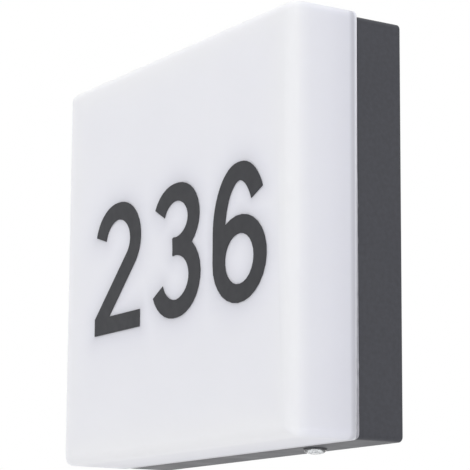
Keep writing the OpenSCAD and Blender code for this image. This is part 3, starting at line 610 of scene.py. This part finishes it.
def white_mask(tint):
    """White mask of an LED board, with the copper under it just standing out."""
    shader = Shader("white_mask")
    upright = shader.add("Mapping", Vector=shader.place, Rotation=(math.radians(90), 0, 0)).outputs[0]
    traces = shader.add("TexBrick", {"offset": 0.5}, Vector=upright, Scale=1.0, Mortar_Size=0.4 * MM,
                        Mortar_Smooth=0.2, Brick_Width=22 * MM, Row_Height=4 * MM).outputs["Fac"]
    return shader.done(
        Base_Color=shader.tones(350.0, tint, 0.96, 1.03), Roughness=shader.between(300.0, 0.28, 0.4),
        Normal=shader.relief(traces, 0.04, 0.6))


def wound_wire(name, tint, pitch):
    """Turns of enamelled wire, side by side."""
    shader = Shader(name)
    turns = shader.add("TexWave", {"bands_direction": "Z"}, Vector=shader.place,
                       Scale=1 / pitch / WAVES, Distortion=0.6).outputs[0]
    return shader.done(
        Base_Color=shader.tones(turns, tint, 0.45, 1.1), Roughness=shader.between(turns, 0.25, 0.4),
        Normal=shader.relief(turns, 0.2, 0.9), Metallic=0.8)


def studio_floor(tint):
    """Plain pale floor with the faintest unevenness."""
    shader = Shader("studio_floor")
    return shader.done(
        Base_Color=shader.tones(3.0, tint, 0.99, 1.01), Roughness=shader.between(8.0, 0.75, 0.85),
        Specular_IOR_Level=0.2)


def insulation(name, tint, drift=0.06, roughness=0.4):
    """Soft sleeve of a wire."""
    return grained(name, tint, roughness, 700.0, 0.01, drift, 150.0)


@cache
def finishes():
    """All finishes by name, from the settings. They are made once."""
    scene = bpy.context.scene
    cover, casing, inside = scene.light_cover, scene.light_casing, scene.light_inside
    seam = -room("cover_seal").front - SEAL_STEP
    made = {
        "opal": opal_plastic(cover.opal, seam),
        "film": grained("matt_film", cover.film, 0.5, 2500.0, 0.004, 0.04, Specular_IOR_Level=0.25),
        "seal": silicone(cover.seal),
        "casing": powder_coat(casing.coat),
        "rubber": grained("moulded_rubber", casing.rubber, 0.6, 1200.0, 0.03, 0.15),
        # the washer is made lighter than its own dark grey, as painted light that the clear dome above it
        # lets through
        "washer": grained("washer_painted_light", (0.09, 0.09, 0.095), 0.6, 1200.0, 0.03, 0.10),
        "foam": closed_foam(casing.rubber),
        "dome": clear_plastic(casing.dome),
        "spring": sheet_metal("spring_steel", (0.55, 0.56, 0.57), 0.28, (1, 8, 1)),
        "screw": zinc_plate(),
        "tray": grained("white_paint", inside.tray, 0.38, 420.0, 0.02, 0.012, 20.0),
        "mask": white_mask(inside.mask),
        "led_case": grained("led_case", (0.86, 0.86, 0.84), 0.35, 900.0, 0.01, 0.02, 300.0),
        "phosphor": grained("phosphor", inside.phosphor, 0.45, 2600.0, 0.02, 0.10, 900.0,
                            **sinking(0.3, 0.5)),
        "link": insulation("link_insulation", (0.52, 0.04, 0.03), roughness=0.35),
        "driver": grained("driver_plastic", inside.plastic, 0.42, 1500.0, 0.02, 0.02, 30.0),
        "circuit": grained("green_mask", inside.circuit, 0.3, 260.0, 0.05, 0.12, 260.0),
        "tape": grained("winding_tape", (0.72, 0.48, 0.05), 0.4, 220.0, 0.05, 0.08, 90.0),
        "ferrite": grained("ferrite", (0.035, 0.034, 0.036), 0.55, 1600.0, 0.03, 0.15, 500.0),
        "sleeve": grained("capacitor_sleeve", (0.02, 0.022, 0.03), 0.3, 500.0, 0.02, 0.1, 200.0),
        "choke": wound_wire("choke_winding", (0.55, 0.18, 0.05), 0.6 * MM),
        "terminal": grained("terminal_plastic", inside.terminal, 0.3, 900.0, 0.01, 0.02, 80.0,
                            **sinking(0.2, 2)),
        "copper": sheet_metal("copper_bar", (0.75, 0.36, 0.18), 0.3, (1, 1, 6)),
        "tinned": sheet_metal("tinned_copper", (0.66, 0.66, 0.65), 0.35, (4, 1, 1)),
        "brass": sheet_metal("brass_screw", (0.66, 0.46, 0.16), 0.3, (1, 1, 1), 1500.0),
        "wire_stripe": insulation("earth_stripe", inside.stripe),
        "wire_white": insulation("white_insulation", (0.78, 0.78, 0.76), 0.03),
        "wire_grey": insulation("grey_insulation", (0.09, 0.10, 0.11)),
        "nut": grained("black_nylon", (0.022, 0.022, 0.024), 0.45, 800.0, 0.02, 0.12, 200.0),
        "cell": grained("sensor_cell", (0.55, 0.22, 0.12), 0.25, 400.0, 0.03, 0.15, 900.0),
    }
    for pole in ("live", "neutral", "earth"):
        tint = getattr(inside, pole)
        made["lever_" + pole] = grained(pole + "_lever", tint, 0.3, 900.0, 0.012, 0.05, 200.0)
        made["wire_" + pole] = insulation(pole + "_insulation", tint)
    return made


# Pieces

def screw_blank(shank, head, rise, tip):
    """A screw without its recess. Its head lies on z = 0 and its shank goes down to tip."""
    dome = [(0.0, rise), (head * 0.45, rise * 0.97), (head * 0.75, rise * 0.82),
            (head * 0.93, rise * 0.52), (head, rise * 0.2), (head, 0.04 * MM), (head * 0.98, 0.0)]
    thread = [(shank, -0.05 * MM), (shank, tip + shank), (shank * 0.3, tip)]
    return lathe([(max(r, POLE), h) for r, h in dome + thread], on_wall, 28)


def cross_cutter(head, rise):
    """The cross that is cut into a screw head, tapering as it goes down."""
    arm, slim, deep = head * 0.62, head * 0.15, rise * 0.75
    parts = []
    for turned in (False, True):
        rings = []
        for reach, half, z in ((arm * 0.55, slim * 0.6, rise - deep), (arm, slim, rise * 1.1)):
            ring = [(-reach, -half), (reach, -half), (reach, half), (-reach, half)]
            if turned:
                ring = [(-y, x) for x, y in ring]
            rings.append([on_wall(x, y, z) for x, y in ring])
        parts.append((0, loft(rings)))
    return joined(*parts)[:2]


def screw_mesh(shank, head, rise, tip):
    """One screw with its recess, as plain points and faces."""
    body = add_object("screw_blank", skin_mesh("screw_blank", screw_blank(shank, head, rise, tip)))
    cutter = add_object("screw_cross", skin_mesh("screw_cross", cross_cutter(head, rise)))
    cut = body.modifiers.new("Recess", "BOOLEAN")
    cut.operation, cut.solver, cut.use_self, cut.object = "DIFFERENCE", "EXACT", True, cutter
    shown = body.evaluated_get(bpy.context.evaluated_depsgraph_get())
    result = shown.to_mesh()
    skin = [v.co.copy() for v in result.vertices], [tuple(f.vertices) for f in result.polygons]
    shown.to_mesh_clear()
    for thing in (body, cutter):
        bpy.data.objects.remove(thing)
    return skin


def add_screws(name, node, size, look):
    """Screws of a node, each with a domed head, a cross recess and its own turn."""
    shank, head, rise = size
    parts = []
    for count, place in enumerate(solids(node)):
        seat = place.front - rise
        points, faces = screw_mesh(shank, head, rise, place.back - seat)
        foot = on_wall(place.middle.x, place.middle.y, seat)
        turn = Matrix.Rotation(math.radians(SCREW_TURN * count), 3, "Y")
        parts.append((0, ([turn @ p + foot for p in points], faces)))
    make(name, joined(*parts), [look], [node], math.radians(30))


def cover_skin(cover):
    """The opal cap with its shelf and its locating lip, as one closed skin."""
    size = room("diffuser")
    rim, face = room("cover_seal").front, size.front
    # bead is the radius of the rim's edge, ease the width of the strips that keep flat parts flat
    edge, wall, bead, ease = cover.edge, cover.wall, 0.5 * MM, 0.6 * MM
    outside = ([(2 * edge, face), (edge + ease, face)] + arc((edge, face - edge), edge, 90, 180, 12)
               + [(0, face - edge - ease), (0, rim + bead + ease)]
               + arc((bead, rim + bead), bead, 180, 270, 4) + [(bead + ease, rim)])
    tip, shelf, soft = size.back, rim + cover.shelf, 0.4 * MM
    lip = ([(0, rim)] + arc((soft, tip + soft), soft, 180, 270, 4)
           + arc((cover.lip_wall - soft, tip + soft), soft, 270, 360, 4) + [(cover.lip_wall, shelf)])
    inside = ([(wall + ease, shelf), (wall, shelf + ease), (wall, face - edge - ease)]
              + arc((edge, face - edge), edge - wall, 180, 90, 8) + [(edge + ease, face - wall)])
    gap, shrink, lift = 2 * cover.lip_gap, 0.8 * cover.corner / edge, size.middle.y
    rings = (frames(size.width, size.height, cover.corner, outside, shrink, lift)
             + frames(size.width - gap, size.height - gap, cover.lip_corner, lip)
             + frames(size.width, size.height, cover.corner, inside, shrink, lift))
    shares = step_shares(outline(size.width, size.height, cover.corner), size.width, size.height)
    for ring in rings:
        if -HAIR < -ring[0].y - rim < bead + ease + HAIR:
            for point, share in zip(ring, shares):
                point.y -= SEAL_STEP * share
    return loft(rings)


def paint_face_light_and_shade(mesh, edge):
    """Cuts the cover's face into small squares and stores the painted light and shade at each corner.

    Light that runs in the plastic leaves it bright along its edges and is missing beside the dark figures:
    this is painted in as a glow and a shadow.
    """
    size = room("diffuser")
    work = bmesh.new()
    work.from_mesh(mesh)
    face = max(work.faces, key=lambda f: (round(-f.calc_center_median().y, 6), f.calc_area()))
    grid = [face, *face.edges, *face.verts]
    for axis, reach, middle in ((0, size.width / 2, size.middle.x), (2, size.height / 2, size.middle.y)):
        for step in range(-int(reach / GRID), int(reach / GRID) + 1):
            across, place = Vector(), Vector()
            across[axis], place[axis] = 1.0, middle + step * GRID
            cut = bmesh.ops.bisect_plane(work, geom=grid, dist=WELD, plane_co=place, plane_no=across)
            grid = cut["geom"]
    work.to_mesh(mesh)
    work.free()
    dark = bmesh.new()
    for node in FIGURES:
        dark.from_mesh(frame["nodes"][node].data)
    figures = BVHTree.FromBMesh(dark)
    dark.free()
    tones = []
    for vert in mesh.vertices:
        inwards = min(size.width / 2 - abs(vert.co.x - size.middle.x),
                      size.height / 2 - abs(vert.co.z - size.middle.y)) - edge
        if vert.co.y > -size.front + HAIR or inwards < 0:
            tones.append(1.0)
            continue
        # painted glow along the edges, times painted shadow beside the figures
        glow = math.exp(-inwards / PAINTED_EDGE_GLOW)
        shadow = math.exp(-figures.find_nearest(vert.co)[3] / PAINTED_SHADOW_REACH)
        tones.append((FACE_PAINTED_SHADE + (1 - FACE_PAINTED_SHADE) * glow) * (1 - (1 - PAINTED_SHADOW_TONE) * shadow))
    mesh.attributes.new("tone", "FLOAT", "POINT").data.foreach_set("value", tones)


SEAL_OUT = 1.0 * MM     # how far the seal is pressed out halfway up its left and right sides
SEAL_LEAN = 0.35 * MM   # how much less that is at the top, and more at the bottom
SEAL_MOST = 1.45 * MM
# Bulges on its right side, in millimetres: height, spread and how far out
SEAL_BULGES = ((-107, 5, 0.45), (-89, 3.5, 0.30), (-76, 1.5, 0.25), (-9, 1.6, 0.20), (9.5, 1.2, 0.30))


def squeeze(x, y, share, size):
    """How far the soft seal is pressed out at a place along its edge: unevenly, with a few bulges."""
    slow = noise.noise(Vector((x, y, 0.0)) * 45.0)
    quick = noise.noise(Vector((x, y, 0.2)) * 260.0)
    out = (SEAL_OUT - SEAL_LEAN * y / size.top) * share + 0.10 * MM * slow + 0.05 * MM * quick
    if x > size.middle.x:
        for at, spread, amount in SEAL_BULGES:
            out += amount * MM * math.exp(-((y - at * MM) / (spread * MM)) ** 2)
    return min(max(out, 0.0), SEAL_MOST)


def seal_skin(size, corner):
    """The thin seal between casing and cover, pressed out unevenly past the edge of the casing."""
    side_steps, unit, width = 160, 1 * MM, 2.2 * MM
    outer, inner, inmost = (
        outline(size.width - 2 * inset, size.height - 2 * inset, corner - inset, side_steps)
        for inset in (0.0, unit, width))
    low, turn = size.back, size.front - 0.2 * MM
    rings = [[] for _ in range(7)]
    shares = step_shares(outer, size.width, size.height)
    for (x0, y0), (x1, y1), (x2, y2), part in zip(outer, inner, inmost, shares):
        out = squeeze(x0, y0, part, size)
        high = size.front + SEAL_STEP * part
        section = ((0.4 * MM, low), (0.0, turn - 0.6 * MM), (0.4 * MM - out, turn - 0.35 * MM),
                   (-out, turn), (0.1 * MM - out, high))
        for ring, (inset, z) in zip(rings, section):
            share = inset / unit
            ring.append(on_wall(x0 + (x1 - x0) * share, y0 + (y1 - y0) * share, z))
        rings[5].append(on_wall(x2, y2, high))
        rings[6].append(on_wall(x2, y2, low))
    return loft(rings, closed=True)


class LightOperator(Operator):
    """Base of the operators that build the light and its stage"""
    bl_options = {"REGISTER", "UNDO"}


class LIGHT_OT_cover(LightOperator):
    """Builds the deep opal cover with its rounded front edge and its locating lip"""
    bl_idname = "wall_light.cover"
    bl_label = "Opal Cover"

    def execute(self, context):
        cover = context.scene.light_cover
        piece = make("opal_cover", cover_skin(cover), ["opal"], ["diffuser"], body="cover")
        paint_face_light_and_shade(piece.data, cover.edge)
        return {"FINISHED"}


class LIGHT_OT_figures(LightOperator):
    """Builds the three adhesive figures of the house number"""
    bl_idname = "wall_light.figures"
    bl_label = "House Number"

    def execute(self, context):
        for count, node in enumerate(FIGURES, 1):
            softened("number_figure_%d" % count, node, ["film"], 0.08 * MM, body="cover")
        return {"FINISHED"}


class LIGHT_OT_seal(LightOperator):
    """Builds the thin milky seal, pressed out unevenly between casing and cover"""
    bl_idname = "wall_light.seal"
    bl_label = "Seal"

    def execute(self, context):
        skin = seal_skin(room("cover_seal"), context.scene.light_casing.corner)
        make("edge_seal", skin, ["seal"], ["cover_seal"], math.radians(60))
        return {"FINISHED"}


class LIGHT_OT_casing(LightOperator):
    """Builds the powder-coated casing with its foam strip and its cable grommet"""
    bl_idname = "wall_light.casing"
    bl_label = "Casing"

    def execute(self, context):
        softened("wall_casing", "back_box", ["casing"], context.scene.light_casing.edge)
        softened("foam_strip", "wall_foam", ["foam"], 0.25 * MM)
        size = room("cable_grommet")
        middle, flange = size.middle, size.width / 2
        mount = {m["name"]: m for m in frame["record"]["mounts"]}["cable_entry"]
        bore = mount["dims"]["r_mm"] * MM
        # wall is how thick the casing's back is, which the grommet's flange lies on
        back, front, wall = room("back_box").back, size.front, 2.5 * MM
        sleeve = flange - 3.05 * MM
        profile = [
            (sleeve, back), (sleeve, wall - 0.1 * MM), (flange - 0.5 * MM, wall),
            (flange, wall + 0.4 * MM), (flange, wall + 1.1 * MM), (flange - 0.5 * MM, wall + 1.6 * MM),
            (sleeve + 0.4 * MM, wall + 1.6 * MM), (sleeve, wall + 2.2 * MM),
            (sleeve - 0.3 * MM, front - 0.4 * MM), (sleeve - 0.8 * MM, front),
            (bore + 0.4 * MM, front), (bore, front - 0.5 * MM)]
        for ridge in range(3):
            z = front - (1.4 + 2 * ridge) * MM
            profile += [(bore + 0.5 * MM, z), (bore + 0.5 * MM, z - 0.8 * MM), (bore, z - 1.1 * MM)]
        profile += [(bore, back + 0.4 * MM), (bore + 0.4 * MM, back)]
        skin = lathe(profile, lambda x, y, z: on_wall(middle.x + x, middle.y + y, z), closed=True)
        make("cable_sleeve", skin, ["rubber"], ["cable_grommet"])
        return {"FINISHED"}


class LIGHT_OT_sensor(LightOperator):
    """Builds the daylight sensor: clear dome, washer, nut, board and cell"""
    bl_idname = "wall_light.sensor"
    bl_label = "Daylight Sensor"

    def execute(self, context):
        size, washer = room("sensor_dome"), room("sensor_washer")

        def below(x, y, h):
            """A point of the sensor, at a distance h below the casing."""
            return on_wall(size.middle.x + x, washer.top - h, size.middle.z + y)

        reach, neck = size.width / 2, 4.9 * MM
        sheet, flange, tip = 0.6 * MM, 1.3 * MM, washer.top - size.bottom
        top = washer.top - size.top
        dome = [(POLE, tip)] + [
            (reach * 0.97 * math.sin(math.radians(a)), flange + (tip - flange) * math.cos(math.radians(a)))
            for a in range(10, 90, 10)]
        dome += [(reach - 0.05 * MM, flange - 0.15 * MM), (reach, flange - 0.35 * MM),
                 (reach, sheet + 0.15 * MM), (reach - 0.15 * MM, sheet), (neck, sheet),
                 (neck, top + 0.3 * MM), (neck - 0.3 * MM, top)]
        hollow = neck - 1.2 * MM
        dome += [(hollow, top), (hollow, flange - 0.6 * MM), (hollow * 0.8, flange - 0.1 * MM),
                 (hollow * 0.45, flange + 0.2 * MM), (POLE, flange + 0.3 * MM)]
        make("clear_dome", lathe(dome, below, 72), ["dome"], ["sensor_dome"],
             math.radians(50))
        rim = washer.width / 2
        ring = [(neck + 0.05 * MM, 0.0), (rim - 0.15 * MM, 0.0), (rim, 0.15 * MM),
                (rim, sheet - 0.15 * MM), (rim - 0.15 * MM, sheet), (neck + 0.05 * MM, sheet)]
        make("dome_washer", lathe(ring, below, 72, closed=True), ["washer"], ["sensor_washer"])
        softened("neck_nut", "sensor_nut", ["nut"], 0.3 * MM)
        softened("sensor_circuit", "sensor_board", ["circuit"], 0.1 * MM)
        softened("light_cell", "photocell", ["cell"], 0.3 * MM)
        rounded_wire("sensor_leads", "sensor_wires", ["wire_grey"])
        return {"FINISHED"}


class LIGHT_OT_tray(LightOperator):
    """Builds the white lamp tray, its feed grommet and the spring clips of the cover"""
    bl_idname = "wall_light.tray"
    bl_label = "Lamp Tray"

    def execute(self, context):
        softened("lamp_tray", "gear_tray", ["tray"], 0.3 * MM)
        softened("feed_grommet", "tray_grommet", ["rubber"], 0.2 * MM)
        softened("edge_clips", "cover_clips", ["spring"], 0.12 * MM)
        return {"FINISHED"}


class LIGHT_OT_boards(LightOperator):
    """Builds the four LED boards with their LEDs and wire links"""
    bl_idname = "wall_light.boards"
    bl_label = "LED Boards"

    def execute(self, context):
        for row in range(1, 5):
            softened("led_strip_%d" % row, "led_board_%d" % row, ["mask"], 0.12 * MM)
        parts = []
        for chip in solids("led_chips"):
            window = [[on_wall(chip.middle.x + x, chip.middle.y + y, chip.front - down) for x, y in
                       outline(chip.width - 2 * inset, chip.height - 2 * inset, 0.6 * MM)]
                      for inset, down in ((0.35 * MM, 0.3 * MM), (0.35 * MM, 0.05 * MM), (0.6 * MM, 0.0))]
            parts += [(0, block(chip, chip.front - 0.06 * MM, 0.12 * MM)), (1, loft(window))]
        make("white_leds", joined(*parts), ["led_case", "phosphor"], ["led_chips"])
        rounded_wire("strip_links", "board_links", ["link"])
        return {"FINISHED"}


class LIGHT_OT_driver(LightOperator):
    """Builds the driver: moulded case and lid, circuit board and what stands on it, and its lamp wires"""
    bl_idname = "wall_light.driver"
    bl_label = "Driver"

    def execute(self, context):
        softened("driver_shell", "driver_case", ["driver"], 0.3 * MM)
        softened("driver_cover", "driver_lid", ["driver"], 0.3 * MM)
        softened("driver_circuit", "driver_board", ["circuit"], 0.1 * MM)
        core = room("driver_transformer")
        ferrite = core.width / 2 - 3.2 * MM
        softened("driver_core", "driver_transformer", ["tape", "ferrite"], 0.25 * MM,
                 lambda f: int(abs(f.calc_center_median().x - core.middle.x) > ferrite))
        softened("driver_cans", "driver_capacitors", ["sleeve", "tinned"], 0.3 * MM,
                 lambda f: int(f.normal.y < -0.9))
        softened("driver_coil", "driver_choke", ["choke"], 0.8 * MM)
        rounded_wire("lamp_leads", "lamp_wires", ["wire_white"])
        return {"FINISHED"}


class LIGHT_OT_terminal(LightOperator):
    """Builds the mains terminal with its bars, springs and three levers, and the mains wires"""
    bl_idname = "wall_light.terminal"
    bl_label = "Mains Terminal"

    def execute(self, context):
        softened("mains_block", "terminal_block", ["terminal"], 0.2 * MM)
        softened("current_bars", "terminal_bars", ["copper"], 0.1 * MM)
        softened("clamp_springs", "terminal_springs", ["spring"], 0.08 * MM)
        for pole, tone in (("earth", "green"), ("neutral", "blue"), ("live", "brown")):
            lever = "lever_" + pole
            softened("clamp_" + lever, lever, [lever], 0.25 * MM, body=lever)
        for pole, tone, *stripes in (
                ("live", "brown"), ("neutral", "blue"), ("earth", "green", "wire_stripe")):
            wire = "wire_" + pole
            rounded_wire(pole + "_lead", wire, [wire, *stripes])
        softened("ring_tag", "earth_tag", ["tinned"], 0.12 * MM)
        return {"FINISHED"}


class LIGHT_OT_screws(LightOperator):
    """Builds all screws, with domed heads and cross recesses"""
    bl_idname = "wall_light.screws"
    bl_label = "Screws"

    def execute(self, context):
        for name in ("clip", "tray", "board", "driver", "terminal"):
            size = LARGE_SCREW if name == "tray" else SMALL_SCREW
            add_screws(name + "_crossheads", name + "_screws", size, "screw")
        add_screws("earth_crosshead", "earth_screw", LARGE_SCREW, "brass")
        return {"FINISHED"}


class LIGHT_OT_stage(LightOperator):
    """Sets up the floor, the soft studio light and the camera"""
    bl_idname = "wall_light.stage"
    bl_label = "Stage"

    def execute(self, context):
        scene, stage = context.scene, context.scene.light_stage
        self.floor(stage)
        self.lamps(stage)
        self.world(scene, stage)
        self.camera(scene, stage)
        scene.view_settings.view_transform = "Standard"
        return {"FINISHED"}

    def floor(self, stage):
        """A wide floor that takes the light's shadow but throws nothing back on it."""
        half = 4.0
        low = cad_bounds[0][2] - stage.floor_drop
        mesh = bpy.data.meshes.new("studio_floor")
        mesh.from_pydata([(-half, -half, low), (half, -half, low), (half, half, low), (-half, half, low)],
                         [], [(0, 1, 2, 3)])
        mesh.materials.append(studio_floor(stage.floor))
        floor = add_object("studio_floor", mesh)
        floor.visible_diffuse = floor.visible_shadow = False

    def lamps(self, stage):
        """Broad lamps that look at the middle of the light."""
        for name, watts, place in (
                ("top_lamp", stage.top, (0.2, -0.9, 1.6)), ("side_lamp", stage.side, (1.9, -0.35, 0.5))):
            data = bpy.data.lights.new(name, "AREA")
            data.energy, data.size = watts, LAMP_SIDE
            lamp = add_object(name, data)
            lamp.location = place
            lamp.rotation_euler = (-Vector(place)).to_track_quat("-Z", "Y").to_euler()
            lamp.visible_camera = False

    def world(self, scene, stage):
        """White all around for the eye and for reflections, softer as a light."""
        world = bpy.data.worlds.new("studio_world")
        scene.world = world
        world.use_nodes = True
        nodes = Nodes(world.node_tree)
        path = nodes.add("LightPath")
        seen = path.outputs["Is Camera Ray"]
        for kind in ("Is Glossy Ray", "Is Transmission Ray"):
            seen = nodes.add("Math", {"operation": "MAXIMUM"}, _0=seen, _1=path.outputs[kind]).outputs[0]
        strength = nodes.add("MapRange", Value=seen, To_Min=stage.ambient).outputs[0]
        nodes.feed(world.node_tree.nodes["Background"], {"Color": (1, 1, 1, 1), "Strength": strength})

    def camera(self, scene, stage):
        """The camera of the photograph, from its heading, its rise and its roll."""
        ahead = Vector((math.sin(stage.turn) * math.cos(stage.rise),
                        math.cos(stage.turn) * math.cos(stage.rise), math.sin(stage.rise)))
        level = Vector((math.cos(stage.turn), -math.sin(stage.turn), 0))
        up = level.cross(ahead)
        right = level * math.cos(stage.roll) + up * math.sin(stage.roll)
        up = up * math.cos(stage.roll) - level * math.sin(stage.roll)
        data = bpy.data.cameras.new("photo_camera")
        data.sensor_width, data.lens, data.shift_y = SENSOR_WIDTH, stage.lens, stage.shift
        camera = add_object("photo_camera", data)
        axes = Matrix((right, up, -ahead)).transposed().to_4x4()
        camera.matrix_world = Matrix.Translation(stage.place) @ axes
        scene.camera = camera


OPERATORS = (LIGHT_OT_stage, LIGHT_OT_cover, LIGHT_OT_figures, LIGHT_OT_seal, LIGHT_OT_casing,
             LIGHT_OT_sensor, LIGHT_OT_tray, LIGHT_OT_boards, LIGHT_OT_driver, LIGHT_OT_terminal,
             LIGHT_OT_screws)
SETTINGS = {"light_cover": CoverSettings, "light_casing": CasingSettings, "light_inside": InsideSettings,
            "light_stage": StageSettings}


class LIGHT_PT_panel(Panel):
    """Lists the settings and the operators"""
    bl_idname = "LIGHT_PT_panel"
    bl_label = "Wall Light"
    bl_space_type = "VIEW_3D"
    bl_region_type = "UI"
    bl_category = "Wall Light"

    def draw(self, context):
        layout = self.layout
        for name, group in SETTINGS.items():
            box = layout.box()
            box.label(text=group.bl_rna.description)
            for key in group.__annotations__:
                box.prop(getattr(context.scene, name), key)
        column = layout.column(align=True)
        for operator in OPERATORS:
            column.operator(operator.bl_idname)


def register():
    for item in (*SETTINGS.values(), *OPERATORS, LIGHT_PT_panel):
        bpy.utils.register_class(item)
    for name, group in SETTINGS.items():
        setattr(bpy.types.Scene, name, PointerProperty(type=group))


def unregister():
    for name in SETTINGS:
        delattr(bpy.types.Scene, name)
    for item in (LIGHT_PT_panel, *reversed(OPERATORS), *SETTINGS.values()):
        bpy.utils.unregister_class(item)


def main():
    register()
    bpy.ops.wall_light.stage()
    bpy.ops.wall_light.cover()
    bpy.ops.wall_light.figures()
    bpy.ops.wall_light.seal()
    bpy.ops.wall_light.casing()
    bpy.ops.wall_light.sensor()
    bpy.ops.wall_light.tray()
    bpy.ops.wall_light.boards()
    bpy.ops.wall_light.driver()
    bpy.ops.wall_light.terminal()
    bpy.ops.wall_light.screws()


if __name__ == "__main__":
    main()
